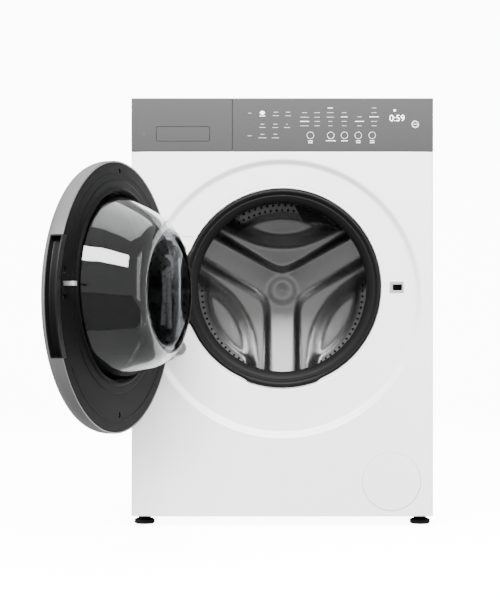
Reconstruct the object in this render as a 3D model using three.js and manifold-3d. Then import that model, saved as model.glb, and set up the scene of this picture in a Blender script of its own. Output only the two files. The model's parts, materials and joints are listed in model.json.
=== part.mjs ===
// A front load washing machine with its door open, in millimetres.
// X is to the right, Y runs from the front face to the rear, Z is up, and the floor is at Z = 0.
// Every piece is modelled where it sits with the door shut; the door's group then swings open.
import * as THREE from "three";
import { mergeVertices } from "three/addons/utils/BufferGeometryUtils.js";
import Module from "manifold-3d";

const wasm = await Module();
wasm.setup();

// ---------- Driving sizes ----------
const gap = 0.4; // between pieces that touch
const roundSteps = 36; // sides of a large round piece
const innerSteps = 24; // sides of a large round piece inside the casing
const smallSteps = 12; // sides of a small round piece

// Casing
const width = 600;
const depth = 588; // front face to the rear panel
const sheet = 2;
const edgeRadius = 6;
const baseHeight = 19; // floor to the lower edge of the casing
const lowerPanel = 157; // casing's lower edge to the recess
const dishUnderFascia = 16; // recess to the fascia
const lidHeight = 18;
const lidWall = 2.5;
const returnDepth = 16; // the front panel's folded sides
const fasciaHeight = 106;
const fasciaDepth = 30;
const fasciaWall = 2.5;

// Tub and drum
const drumOverDoor = 22; // the drum's axis lies this far above the door's centre
const tubSideRoom = 30; // tub to side panel
const tubWall = 6;
const drumRoom = 15; // drum to tub wall
const drumSheet = 2;
const tubNeckY = 60;
const tubFrontY = 80;
const tubSplitY = 300;
const tubRearRoom = 83; // tub's rear wall to the rear panel

// Door and mouth
const recessMargin = 24; // casing edge to recess edge
const recessDepth = 10;
const recessSlope = 9; // width of the recess's sloping edge
const doorInset = 24; // recess edge to door rim
const doorDepth = 36;
const doorFaceY = 4; // the shut door's inner face
const rimWidth = 3.2;
const rimFront = 16; // width of the rim seen from the front
const doorFrameWidth = 79; // door rim to glass
const doorGlassSag = 2; // the glass sits this much below the mouth's axis
const lipOverGlass = 5; // the sealing lip is this much smaller than the glass opening
const gasketWidth = 27.5;
const gasketFit = 2; // gasket to the panel's mouth
const bowlDepth = 100;
const bowlWall = 5;
const hingeX = 24.7; // hinge axis, inwards from the door's rim
const hingeY = 4;
const hingeBarrelRadius = 7.5;
const hingePinRadius = 4;
const doorOpening = 109; // degrees
const pocketRoom = 11; // hinge pocket, beyond the door's thickness
const pocketBehindHinge = 12;
const scoopInPocket = 30; // how far the shallow hollow for the rim reaches over the pocket
const pocketInset = 4.5; // the pocket is as tall as the rim's chord this much short of its thickness
const scoopInset = 1.3;
const gripHalfHeight = 106;
const latchInset = 24; // latch hook, inwards from the door's rim

// Detergent drawer
const drawerWidth = 201;
const drawerLength = 290;
const drawerSkin = 2.5;
const flapWidth = 107.3;
const flapHeight = 30;
const flapCentreFromLeft = 102.7;
const flapBottomOverSeam = 20;
const flapGap = 0.9;

// Suspension
const springInset = 68; // spring, inwards from the tub's side
const springY = 380;
const springRadius = 12;
const springUnderTop = 38;
const damperInset = 138; // damper, inwards from the tub's side
const damperY = 335;
const damperRadius = 14;
const damperRodRadius = 7;

// Drain filter
const filterInset = 83; // filter centre, inwards from the casing's right edge
const filterZ = 88;
const filterCoverRadius = 58;

// Feet
const footInset = 23;
const footY = 42;
const footRadius = 20.5;
const footPad = 12;
const footStudRadius = 5;

// ---------- Sizes that follow ----------
const halfWidth = width / 2;
const tubRadius = halfWidth - sheet - tubSideRoom;
const drumRadius = tubRadius - tubWall - drumRoom;
const tubRearY = depth - tubRearRoom;
const recessRadius = halfWidth - recessMargin;
const doorCentreZ = baseHeight + lowerPanel + recessRadius;
const drumAxisZ = doorCentreZ + drumOverDoor;
const fasciaBottom = doorCentreZ + recessRadius + dishUnderFascia;
const height = fasciaBottom + fasciaHeight;
const lidBottom = height - lidHeight;
const springTop = height - springUnderTop;
const doorRadius = recessRadius - doorInset;
const glassRadius = doorRadius - doorFrameWidth;
const lipRadius = glassRadius - lipOverGlass;
const gasketRadius = lipRadius + gasketWidth;
const mouthRadius = gasketRadius + gasketFit;
const neckRadius = lipRadius + 14;
const drumMouthRadius = neckRadius + 4;
const drumFrontY = tubFrontY + tubWall + 4;
const drumBackY = tubRearY - 29;
const doorFrontY = doorFaceY - doorDepth;
const hingeAxisX = -(doorRadius - hingeX);
const pocketRight = hingeAxisX + pocketBehindHinge;
const pocketLeft = hingeAxisX - doorDepth - pocketRoom;
const pocketDepth = doorDepth + pocketBehindHinge;
const scoopRight = pocketLeft + scoopInPocket;
const rimChord = (inset) => Math.sqrt(doorRadius ** 2 - (doorRadius - inset) ** 2);
const pocketHalfHeight = rimChord(doorDepth - pocketInset);
const scoopHalfHeight = rimChord(doorDepth + scoopInset);
const latchX = doorRadius - latchInset;
const drawerRight = -halfWidth + drawerWidth;
const flapCentreX = -halfWidth + flapCentreFromLeft;
const flapBottom = fasciaBottom + flapBottomOverSeam;
const flapTop = flapBottom + flapHeight;
const springX = tubRadius - springInset;
const damperX = tubRadius - damperInset;
const filterX = halfWidth - filterInset;
const sides = [
  ["left", -1],
  ["right", 1],
];

// How far the tub's wall lies above or below its axis at a distance x from it.
const tubRise = (x) => Math.sqrt(tubRadius ** 2 - x ** 2);

// ---------- Finishes ----------
const finishes = {
  whiteEnamel: { color: 0xf2f2f2, roughness: 0.35, metalness: 0 },
  silverPlastic: { color: 0x9c9c9c, roughness: 0.4, metalness: 0.3 },
  satinMetal: { color: 0xb4b4b4, roughness: 0.35, metalness: 0.9 },
  drumSteel: { color: 0xa8a8a8, roughness: 0.25, metalness: 1 },
  zincSteel: { color: 0xb9bcc0, roughness: 0.5, metalness: 0.9 },
  castAluminium: { color: 0xa6a8aa, roughness: 0.6, metalness: 0.8 },
  bearingSteel: { color: 0xc8c8c8, roughness: 0.2, metalness: 1 },
  blackPlastic: { color: 0x1c1c1d, roughness: 0.5, metalness: 0 },
  darkPlastic: { color: 0x303031, roughness: 0.45, metalness: 0 },
  greyRubber: { color: 0x3a3a3c, roughness: 0.7, metalness: 0 },
  tubPlastic: { color: 0xc9ccd0, roughness: 0.6, metalness: 0 },
  whitePlastic: { color: 0xeeeeee, roughness: 0.5, metalness: 0 },
  concrete: { color: 0x8d8b86, roughness: 0.95, metalness: 0 },
  copperWinding: { color: 0x9a5a35, roughness: 0.4, metalness: 0.6 },
  circuitBoard: { color: 0x1f3a2a, roughness: 0.5, metalness: 0 },
  clearGlass: { color: 0xdfe5e6, roughness: 0.03, metalness: 0, transparent: true, opacity: 0.3 },
};

// ---------- Building blocks ----------
function solidOf(geometry) {
  geometry.deleteAttribute("normal");
  geometry.deleteAttribute("uv");
  const merged = mergeVertices(geometry, 1e-4);
  return new wasm.Manifold(
    new wasm.Mesh({
      numProp: 3,
      vertProperties: merged.attributes.position.array,
      triVerts: new Uint32Array(merged.index.array),
    }),
  );
}

const join = (first, ...others) => others.reduce((solid, other) => solid.add(other), first);
const cut = (first, ...others) => others.reduce((solid, other) => solid.subtract(other), first);

function block([x0, x1], [y0, y1], [z0, z1]) {
  const box = new THREE.BoxGeometry(x1 - x0, y1 - y0, z1 - z0);
  return solidOf(box.translate((x0 + x1) / 2, (y0 + y1) / 2, (z0 + z1) / 2));
}

// A profile of [radius, distance along the axis] points, turned about an axis along Y.
function turnedGeometry(profile, steps) {
  const points = profile.map(([radius, along]) => new THREE.Vector2(radius, along));
  if (profile[0][0] > 0) points.push(points[0].clone());
  if (THREE.ShapeUtils.area(points) < 0) points.reverse();
  return new THREE.LatheGeometry(points, steps);
}

function turnedY(profile, x, z, steps = roundSteps) {
  return solidOf(turnedGeometry(profile, steps).translate(x, 0, z));
}

// The same about the drum's own axis, coarser because the casing hides it.
const turnedInside = (profile, steps = innerSteps) => turnedY(profile, 0, drumAxisZ, steps);

function turnedZ(profile, x, y, steps = smallSteps) {
  return solidOf(turnedGeometry(profile, steps).rotateX(Math.PI / 2).translate(x, y, 0));
}

const rodProfile = (radius, start, end) => [
  [0, start],
  [radius, start],
  [radius, end],
  [0, end],
];
const tubeProfile = (inner, outer, start, end) => [
  [inner, start],
  [outer, start],
  [outer, end],
  [inner, end],
];

function rodX(radius, x0, x1, y, z) {
  const rod = turnedGeometry(rodProfile(radius, x0, x1), smallSteps);
  return solidOf(rod.rotateZ(-Math.PI / 2).translate(0, y, z));
}

// An outline drawn in X and Z, as thick as the range of Y.
function plateY(outline, [y0, y1]) {
  const options = { depth: y1 - y0, bevelEnabled: false, curveSegments: smallSteps };
  return solidOf(new THREE.ExtrudeGeometry(outline, options).rotateX(Math.PI / 2).translate(0, y1, 0));
}

// An outline drawn in X and Y, as thick as the range of Z.
function plateZ(outline, [z0, z1]) {
  const options = { depth: z1 - z0, bevelEnabled: false, curveSegments: 4 };
  return solidOf(new THREE.ExtrudeGeometry(outline, options).translate(0, 0, z0));
}

function outlineOf(points) {
  return new THREE.Shape(points.map(([a, b]) => new THREE.Vector2(a, b)));
}

function meshOf(name, solid, finish) {
  const { numProp, vertProperties, triVerts } = solid.getMesh();
  const geometry = new THREE.BufferGeometry();
  geometry.setAttribute("position", new THREE.BufferAttribute(vertProperties, numProp));
  geometry.setIndex(new THREE.BufferAttribute(triVerts, 1));
  geometry.computeVertexNormals();
  const mesh = new THREE.Mesh(geometry, new THREE.MeshStandardMaterial(finishes[finish]));
  mesh.name = name;
  return mesh;
}

// ---------- Casing ----------
function sidePanel(side) {
  const span = (a, b) => (side < 0 ? [-b, -a] : [a, b]);
  const skin = span(halfWidth - sheet, halfWidth);
  const flange = span(halfWidth - 22, halfWidth);
  const rearEdge = depth - sheet - gap;
  const seam = fasciaBottom - gap;
  return join(
    block(skin, [returnDepth + gap, rearEdge], [baseHeight, seam]),
    block(skin, [fasciaDepth + gap, rearEdge], [seam - 1, lidBottom - gap]),
    block(flange, [rearEdge - sheet, rearEdge], [baseHeight, lidBottom - gap]),
    block(
      span(springX - springRadius, halfWidth),
      [springY - springRadius, springY + springRadius],
      [springTop, springTop + 3],
    ),
  );
}

// A sheet folded back round both upright edges.
function foldedFrontOutline() {
  const inner = halfWidth - sheet;
  const bend = edgeRadius - sheet;
  const outline = new THREE.Shape();
  outline.moveTo(-halfWidth, returnDepth);
  outline.lineTo(-halfWidth, edgeRadius);
  outline.absarc(-halfWidth + edgeRadius, edgeRadius, edgeRadius, Math.PI, 1.5 * Math.PI, false);
  outline.lineTo(halfWidth - edgeRadius, 0);
  outline.absarc(halfWidth - edgeRadius, edgeRadius, edgeRadius, 1.5 * Math.PI, 2 * Math.PI, false);
  outline.lineTo(halfWidth, returnDepth);
  outline.lineTo(inner, returnDepth);
  outline.absarc(inner - bend, edgeRadius, bend, 0, -0.5 * Math.PI, true);
  outline.absarc(-inner + bend, edgeRadius, bend, -0.5 * Math.PI, -Math.PI, true);
  outline.lineTo(-inner, returnDepth);
  return outline;
}

function frontPanel() {
  const floor = recessDepth;
  const slopeEnd = recessRadius - recessSlope;
  const dish = turnedY(
    [
      [0, sheet / 2],
      [recessRadius + sheet, sheet / 2],
      [slopeEnd + sheet, floor + sheet],
      [0, floor + sheet],
    ],
    0,
    doorCentreZ,
  );
  const hollow = turnedY(
    [[0, -1], [recessRadius + 0.9, -1], [slopeEnd, floor], [0, floor]],
    0,
    doorCentreZ,
  );
  // The hinge's deep pocket, and the shallow scoop above and below it, each grown by a wall.
  const hollows = (wall) => {
    const spanZ = (half) => [doorCentreZ - half - wall, doorCentreZ + half + wall];
    const front = wall ? sheet / 2 : -1;
    return join(
      block([pocketLeft - wall, pocketRight + wall], [front, pocketDepth + wall], spanZ(pocketHalfHeight)),
      block([pocketLeft - wall, scoopRight + wall], [front, recessDepth + wall], spanZ(scoopHalfHeight)),
    );
  };
  const mouthFlange = turnedY(
    tubeProfile(mouthRadius, mouthRadius + sheet, floor, floor + 14),
    0,
    drumAxisZ,
  );
  const mouth = turnedY(rodProfile(mouthRadius, -1, floor + 20), 0, drumAxisZ);
  const lockHole = block([latchX - 14, latchX + 14], [0, 20], [drumAxisZ - 11.5, drumAxisZ + 11.5]);
  const filterHole = turnedY(rodProfile(filterCoverRadius + gap, -1, 5), filterX, filterZ);
  const panel = plateZ(foldedFrontOutline(), [baseHeight, fasciaBottom - gap]);
  return cut(
    join(cut(join(panel, dish, hollows(sheet)), hollow), mouthFlange),
    hollows(0),
    mouth,
    lockHole,
    filterHole,
  );
}

function lid() {
  const side = halfWidth - lidWall;
  return cut(
    block([-halfWidth, halfWidth], [fasciaDepth + gap, depth], [lidBottom, height]),
    block([-side, side], [0, depth - lidWall], [lidBottom - 1, height - lidWall]),
  );
}

const rearOpeningRadius = 150;
const rearCoverY = depth + gap;
const glandX = -230;
const glandZ = 110;
const glandRadius = 8;
const inletX = [150, 205];
const inletZ = 790;
const inletRadius = 13.2;

function rearPanel() {
  const edge = halfWidth - gap;
  return cut(
    block([-edge, edge], [depth - sheet, depth], [baseHeight, lidBottom - gap]),
    turnedInside(rodProfile(rearOpeningRadius, depth - 5, depth + 5)),
    turnedY(rodProfile(glandRadius + gap, depth - 5, depth + 5), glandX, glandZ, smallSteps),
    ...inletX.map((x) =>
      turnedY(rodProfile(inletRadius + gap, depth - 5, depth + 5), x, inletZ, smallSteps),
    ),
  );
}

function rearAccessCover() {
  const flat = rearOpeningRadius + 14;
  const crown = rearOpeningRadius - 8;
  const out = 11;
  return turnedInside(
    [
      [0, rearCoverY + out - sheet],
      [crown - 8, rearCoverY + out - sheet],
      [crown, rearCoverY],
      [flat, rearCoverY],
      [flat, rearCoverY + sheet],
      [crown + 2, rearCoverY + sheet],
      [crown - 6, rearCoverY + out],
      [0, rearCoverY + out],
    ]);
}

const trayFloor = baseHeight + 6;
const footPlaces = [
  ["front_left", -1, footY],
  ["front_right", 1, footY],
  ["rear_left", -1, depth - footY],
  ["rear_right", 1, depth - footY],
];
const footX = (side) => side * (halfWidth - footInset);

function baseTray() {
  const outer = halfWidth - sheet - gap;
  const wall = 4;
  const front = edgeRadius + gap;
  const rear = depth - 2 * sheet - 3 * gap;
  const shell = cut(
    block([-outer, outer], [front, rear], [baseHeight, baseHeight + 26]),
    block([-outer + wall, outer - wall], [front + wall, rear - wall], [trayFloor, baseHeight + 40]),
    turnedY(rodProfile(filterCoverRadius + 3, 0, front + wall + 4), filterX, filterZ),
  );
  const bosses = footPlaces.map(([, side, y]) =>
    block(
      side < 0 ? [-outer, footX(side) + 14] : [footX(side) - 14, outer],
      [y - 14, y + 14],
      [baseHeight, baseHeight + 26],
    ),
  );
  const damperSeats = sides.map(([, side]) =>
    block(
      [side * damperX - 18, side * damperX + 18],
      [damperY - 18, damperY + 18],
      [baseHeight, trayFloor + 20],
    ),
  );
  const studHoles = footPlaces.map(([, side, y]) =>
    turnedZ(rodProfile(footStudRadius + gap, 0, height / 4), footX(side), y),
  );
  return cut(join(shell, ...bosses, ...damperSeats), ...studHoles);
}

function foot(side, y) {
  const neck = 0.6 * footRadius;
  return turnedZ(
    [
      [0, 0],
      [footRadius - 1.5, 0],
      [footRadius, 2],
      [footRadius, footPad - 3],
      [neck, footPad],
      [neck, baseHeight - 1.5],
      [footStudRadius, baseHeight - 1.5],
      [footStudRadius, baseHeight + 32],
      [0, baseHeight + 32],
    ],
    footX(side),
    y,
  );
}

// ---------- Control head ----------
const bayFloorY = 7; // the drawer's front sits in a bay of the fascia

function fascia() {
  const inner = halfWidth - fasciaWall;
  const low = fasciaBottom + fasciaWall;
  const high = height - fasciaWall;
  const shell = cut(
    block([-halfWidth, halfWidth], [0, fasciaDepth], [fasciaBottom, height]),
    block([-inner, inner], [3, fasciaDepth + 1], [low, high]),
    block([-halfWidth - 1, drawerRight], [-1, bayFloorY], [fasciaBottom - 1, height + 1]),
  );
  const bayFloor = block(
    [-halfWidth + 1, drawerRight],
    [bayFloorY, bayFloorY + fasciaWall],
    [fasciaBottom + 1, height - 1],
  );
  const bayWall = block(
    [drawerRight, drawerRight + fasciaWall],
    [1, bayFloorY + fasciaWall],
    [low - 1, high + 1],
  );
  const aperture = block([-halfWidth + 14, drawerRight - 14], [0, 20], [fasciaBottom + 9, height - 11]);
  return cut(join(shell, bayFloor, bayWall), aperture);
}

function controlBoard() {
  const board = block([drawerRight + 20, halfWidth - 14], [12, 14], [fasciaBottom + 14, height - 14]);
  const display = block([halfWidth - 100, halfWidth - 40], [4.4, 12.5], [height - 54, height - 26]);
  return join(board, display);
}

const wellDepth = 34;
const wellX = [flapCentreX - flapWidth / 2 - 5, flapCentreX + flapWidth / 2 + 5];
const wellZ = [flapBottom - 5, flapTop + 7];
const flapAxisY = 9.6;
const flapAxisZ = flapTop + 1;

function drawerFront() {
  const x = [-halfWidth, drawerRight - gap];
  const z = [fasciaBottom + gap, height];
  const skinBack = bayFloorY - gap;
  const shrink = ([low, high], by) => [low + by, high - by];
  const shell = cut(
    block(x, [0, skinBack], z),
    block(shrink(x, 2), [drawerSkin, skinBack + 1], shrink(z, 2)),
  );
  const well = cut(
    block(shrink(wellX, -2), [1, wellDepth + 2], shrink(wellZ, -2)),
    block(wellX, [drawerSkin, wellDepth], wellZ),
  );
  const flapHole = block(
    [flapCentreX - flapWidth / 2, flapCentreX + flapWidth / 2],
    [-1, drawerSkin + 0.5],
    [flapBottom, flapTop],
  );
  return cut(join(shell, well), flapHole);
}

function drawerFlap() {
  const x = [flapCentreX - flapWidth / 2 + flapGap, flapCentreX + flapWidth / 2 - flapGap];
  const face = block(x, [0.2, drawerSkin], [flapBottom + flapGap, flapTop - gap]);
  const arm = block(x, [1, flapAxisY], [flapTop - 5, flapTop - gap - 0.1]);
  const axle = rodX(2.4, wellX[0] + gap, wellX[1] - gap, flapAxisY, flapAxisZ);
  return join(face, arm, axle);
}

const trayX = [-halfWidth + 17, drawerRight - 17];
const trayZ = [fasciaBottom + 13, height - 14];
const trayY = [wellDepth + 2 + gap, drawerLength];
const chamberWidth = (trayX[1] - trayX[0] - 4 * 2) / 3;
const capY = [trayY[1] - 90, trayY[1] - 20];

function drawerTray() {
  const chambers = [0, 1, 2].map((i) => {
    const left = trayX[0] + 2 + i * (chamberWidth + 2);
    return block([left, left + chamberWidth], [trayY[0] + 2, trayY[1] - 2], [trayZ[0] + 2, trayZ[1] + 1]);
  });
  return cut(block(trayX, trayY, trayZ), ...chambers);
}

function siphonCap() {
  const left = trayX[0] + 2 + chamberWidth + 2;
  const x = [left + gap, left + chamberWidth - gap];
  const top = trayZ[1] - 6;
  return cut(
    block(x, capY, [trayZ[0] + 2 + gap, top]),
    block([x[0] + 2, x[1] - 2], [capY[0] + 2, capY[1] - 2], [trayZ[0], top - 2]),
  );
}

function dispenserHousing() {
  const x = [trayX[0] - 5, trayX[1] + 5];
  const z = [fasciaBottom + 6, height - 8];
  const rear = drawerLength + 30;
  const shell = cut(
    block(x, [fasciaDepth + 1, rear], z),
    block([x[0] + 2, x[1] - 2], [0, rear - 2], [z[0] + 2, z[1] - 2]),
  );
  const spoutX = (x[0] + x[1]) / 2;
  const spout = turnedZ(tubeProfile(10, 13, z[0] - 6, z[0] + 1), spoutX, rear - 40);
  return cut(join(shell, spout), turnedZ(rodProfile(10, z[0] - 8, z[0] + 4), spoutX, rear - 40));
}

function waterInletValve() {
  const body = block(
    [inletX[0] - 20, inletX[1] + 20],
    [depth - 50, depth - 10],
    [inletZ - 22, inletZ + 26],
  );
  const spigots = inletX.map((x) =>
    turnedY(tubeProfile(inletRadius - 4, inletRadius, depth - 12, depth + 12), x, inletZ, smallSteps),
  );
  const bores = inletX.map((x) =>
    turnedY(rodProfile(inletRadius - 4, depth - 16, depth + 13), x, inletZ, smallSteps),
  );
  return cut(join(body, ...spigots), ...bores);
}

function cableGland() {
  const bore = 4.5;
  return turnedY(
    [
      [bore, depth - 14],
      [glandRadius, depth - 14],
      [glandRadius, depth + gap],
      [glandRadius + 4, depth + gap],
      [glandRadius + 4, depth + 4],
      [glandRadius, depth + 11],
      [bore, depth + 11],
    ],
    glandX,
    glandZ,
    smallSteps,
  );
}

// ---------- Mouth ----------
// One rubber profile: front bead, dished face, sealing lip, folded bellows and the tail on the tub's neck.
function gasket() {
  const tail = neckRadius + gap;
  return turnedInside(
    [
      [gasketRadius, recessDepth + 3],
      [gasketRadius - 6, recessDepth + 3],
      [lipRadius + 8, recessDepth + 10],
      [lipRadius, recessDepth + 17],
      [lipRadius + 1, recessDepth + 21],
      [lipRadius + 12, recessDepth + 16],
      [gasketRadius - 8, recessDepth + 18],
      [gasketRadius - 8, tubNeckY - 8],
      [tail, tubNeckY + 2],
      [tail, tubNeckY + 14],
      [tail + 4, tubNeckY + 14],
      [tail + 4, tubNeckY + 2],
      [gasketRadius - 4, tubNeckY - 6],
      [gasketRadius, recessDepth + 20],
    ],
  );
}

// The recirculation nozzle hangs from the tub's neck at the upper right and looks into the drum.
function sprayNozzle() {
  const outer = neckRadius - tubWall - 3;
  const edge = 0.786 * outer; // the head's level lower edge
  const hood = new THREE.Shape();
  const [from, to] = [41, 82].map(THREE.MathUtils.degToRad);
  hood.absarc(0, 0, outer, from, to, false);
  hood.lineTo(0.26 * outer, edge);
  hood.lineTo(0.45 * outer, edge);
  hood.lineTo(0.64 * outer, 0.722 * outer);
  const arm = new THREE.Shape();
  const [armFrom, armTo] = [50, 73].map(THREE.MathUtils.degToRad);
  arm.absarc(0, 0, outer, armFrom, armTo, false);
  arm.absarc(0, 0, outer - 5, armTo, armFrom, true);
  const raised = (shape) =>
    new THREE.Shape(shape.getPoints(5).map((point) => point.add(new THREE.Vector2(0, drumAxisZ))));
  const headY = doorFaceY + bowlDepth + 6;
  return join(plateY(raised(hood), [headY, headY + 9]), plateY(raised(arm), [tubNeckY + 4, headY + 1]));
}

function doorLock() {
  const behind = recessDepth + sheet + gap;
  const body = block([latchX - 20, latchX + 26], [behind, behind + 36], [drumAxisZ - 22, drumAxisZ + 22]);
  const face = block(
    [latchX - 14 + gap, latchX + 14 - gap],
    [recessDepth + 0.6, behind + 1],
    [drumAxisZ - 11.5 + gap, drumAxisZ + 11.5 - gap],
  );
  const slot = block([latchX - 8, latchX + 11], [0, behind + 30], [drumAxisZ - 6, drumAxisZ + 6]);
  return cut(join(body, face), slot);
}

// ---------- Door, modelled shut ----------
const rimRadius = doorRadius - rimWidth;
const coverRadius = doorRadius - rimFront;
const hingeNotch = turnedZ(
  rodProfile(hingeBarrelRadius + 5, doorCentreZ - 90, doorCentreZ + 90),
  hingeAxisX,
  hingeY,
);
const gripRadius = doorRadius - 14; // bottom of the finger hollow
const gripWall = 2;
const gripY = [doorFrontY + 12.5, doorFaceY];
const armX = [hingeAxisX, hingeAxisX + 34];
const armZ = [doorCentreZ - 55, doorCentreZ + 55];

// The hollow for the grip: a slice of the rim at the door's free edge.
function gripSlice(inner, outer, [y0, y1], halfHeight) {
  return turnedY(tubeProfile(inner, outer, y0, y1), 0, doorCentreZ).intersect(
    block([0, outer + 1], [y0 - 1, y1 + 1], [doorCentreZ - halfHeight, doorCentreZ + halfHeight]),
  );
}

function doorOuterRing() {
  const ring = turnedY(
    [
      [doorRadius, doorFaceY],
      [doorRadius, doorFrontY + 16],
      [doorRadius - 2.5, doorFrontY + 8],
      [doorRadius - 9, doorFrontY + 2],
      [coverRadius, doorFrontY],
      [coverRadius, doorFrontY + 3],
      [rimRadius - 6, doorFrontY + 6],
      [rimRadius, doorFrontY + 12],
      [rimRadius, doorFaceY],
    ],
    0,
    doorCentreZ,
  );
  const grip = gripSlice(
    rimRadius - 10,
    doorRadius + 5,
    [gripY[0] - gap, doorFaceY + 1],
    gripHalfHeight + gap,
  );
  return cut(ring, grip, hingeNotch);
}

function doorFrontCover() {
  const back = doorFrontY + 4;
  return turnedY(
    [[0, doorFrontY], [coverRadius - gap, doorFrontY], [coverRadius - gap, back], [0, back]],
    0,
    doorCentreZ,
  );
}

function doorInnerFrame() {
  const outer = rimRadius - gap;
  const back = doorFaceY - 12;
  const plate = turnedY(rodProfile(outer, back, doorFaceY), 0, doorCentreZ);
  const raised = turnedY(
    [
      [glassRadius, doorFaceY - 1],
      [glassRadius + 25, doorFaceY - 1],
      [glassRadius + 22, doorFaceY + 5.5],
      [glassRadius + 4, doorFaceY + 5.5],
    ],
    0,
    drumAxisZ - doorGlassSag,
  );
  const opening = turnedY(rodProfile(glassRadius, back - 1, doorFaceY + 8), 0, drumAxisZ - doorGlassSag);
  const armSeat = block(
    [armX[0], armX[1] + gap],
    [doorFaceY - 4 - gap, doorFaceY + 8],
    [armZ[0] - gap, armZ[1] + gap],
  );
  const latchSeat = block(
    [latchX - 12, latchX + 3],
    [doorFaceY - 3, doorFaceY + 1],
    [drumAxisZ - 16, drumAxisZ + 16],
  );
  return cut(
    join(plate, raised),
    opening,
    hingeNotch,
    armSeat,
    latchSeat,
    gripSlice(gripRadius - gripWall - gap, doorRadius + 5, [back - 1, doorFaceY + 1], gripHalfHeight + gap),
  );
}

function gripCup() {
  const hollowY = [gripY[0] + gripWall, gripY[1] - gripWall];
  return cut(
    gripSlice(gripRadius - gripWall, doorRadius, gripY, gripHalfHeight),
    gripSlice(gripRadius, doorRadius + 5, hollowY, gripHalfHeight - gripWall),
  );
}

// The glass bowl narrows towards its end and sags a little, so its rings step down with depth.
const bowlRings = [
  [-17, glassRadius + 11, 0],
  [-13, glassRadius + 11, 0],
  [-13, glassRadius - 3, 0],
  [0, glassRadius - 3, 0],
  [0.25 * bowlDepth, glassRadius - 11, 1.5],
  [0.5 * bowlDepth, glassRadius - 22, 4],
  [0.72 * bowlDepth, glassRadius - 32, 7],
  [0.92 * bowlDepth, glassRadius - 46, 9.5],
  [bowlDepth, glassRadius - 64, 10.5],
];

// A lathe whose points sink with their distance from the door's face.
function saggingBowl(rings) {
  const profile = [...rings.map(([along, radius]) => [radius, doorFaceY + along])];
  profile.unshift([0, profile[0][1]]);
  profile.push([0, profile.at(-1)[1]]);
  const geometry = turnedGeometry(profile, roundSteps);
  const position = geometry.attributes.position;
  const curve = rings.map(([along, , sag]) => [doorFaceY + along, sag]);
  for (let i = 0; i < position.count; i++) {
    const y = position.getY(i);
    const next = Math.max(1, curve.findIndex(([along]) => along >= y - 1e-6));
    const [y0, sag0] = curve[next - 1];
    const [y1, sag1] = curve[next];
    const share = y1 > y0 ? THREE.MathUtils.clamp((y - y0) / (y1 - y0), 0, 1) : 1;
    position.setZ(i, position.getZ(i) - sag0 - (sag1 - sag0) * share);
  }
  return solidOf(geometry.translate(0, 0, drumAxisZ - doorGlassSag));
}

function doorGlass() {
  const innerRings = bowlRings
    .filter(([along], i) => i !== 1 && i !== 2)
    .map(([along, radius, sag], i) => [
      i === 0 ? along - 1 : along - bowlWall,
      (i === 0 ? glassRadius - 3 : radius) - bowlWall,
      sag,
    ]);
  return cut(saggingBowl(bowlRings), saggingBowl(innerRings));
}

function latchHook() {
  const base = block(
    [latchX - 12 + gap, latchX + 3 - gap],
    [doorFaceY - 3 + gap, doorFaceY + 2],
    [drumAxisZ - 16 + gap, drumAxisZ + 16 - gap],
  );
  const hookZ = [drumAxisZ - 4, drumAxisZ + 4];
  const tongue = block([latchX - 2, latchX + 2], [doorFaceY + 1, doorFaceY + 26], hookZ);
  const beak = block([latchX - 2, latchX + 6], [doorFaceY + 20, doorFaceY + 26], hookZ);
  return join(base, tongue, beak);
}

function hingeArm() {
  const barrel = turnedZ(
    rodProfile(hingeBarrelRadius, armZ[0] + 0.5, armZ[1] - 0.5),
    hingeAxisX,
    hingeY,
  );
  const leaf = block(armX, [doorFaceY - 4, doorFaceY - 0.5], armZ);
  const bore = turnedZ(rodProfile(hingePinRadius + gap, armZ[0] - 1, armZ[1] + 1), hingeAxisX, hingeY);
  return cut(join(barrel, leaf), bore);
}

const bracketHalfHeight = 113;
const bracketY = [recessDepth - gap - 2, recessDepth - gap];

// A plate with a screw pad at each end, and two ears that hold the hinge pin.
function hingeBracket() {
  const strip = block(
    [pocketRight - 1, pocketRight + 9],
    bracketY,
    [doorCentreZ - bracketHalfHeight, doorCentreZ + bracketHalfHeight],
  );
  const padOutline = (low) => {
    const [left, right, high] = [pocketRight - 1, pocketRight + 24, low + 30];
    const outline = new THREE.Shape();
    outline.moveTo(left, low);
    outline.lineTo(right - 15, low);
    outline.absarc(right - 15, low + 15, 15, -0.5 * Math.PI, 0.5 * Math.PI, false);
    outline.lineTo(left, high);
    return outline;
  };
  const pads = [doorCentreZ - bracketHalfHeight, doorCentreZ + bracketHalfHeight - 30].map((low) =>
    plateY(padOutline(low), bracketY),
  );
  const earZ = [
    [armZ[0] - gap - 6, armZ[0] - gap],
    [armZ[1] + gap, armZ[1] + gap + 6],
  ];
  const ears = earZ.map(([low, high]) =>
    join(
      turnedZ(rodProfile(hingeBarrelRadius, low, high), hingeAxisX, hingeY),
      block([hingeAxisX, pocketRight], [hingeY - 1, bracketY[1]], [low, high]),
    ),
  );
  const bore = turnedZ(
    rodProfile(hingePinRadius + gap, armZ[0] - 20, armZ[1] + 20),
    hingeAxisX,
    hingeY,
  );
  return cut(join(strip, ...pads, ...ears), bore);
}

function hingePin() {
  const head = hingePinRadius + 2;
  const low = armZ[0] - 2 * gap - 6;
  const high = armZ[1] + 2 * gap + 6;
  return turnedZ(
    [
      [0, low - 2],
      [head, low - 2],
      [head, low],
      [hingePinRadius, low],
      [hingePinRadius, high],
      [head, high],
      [head, high + 2],
      [0, high + 2],
    ],
    hingeAxisX,
    hingeY,
  );
}

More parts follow.
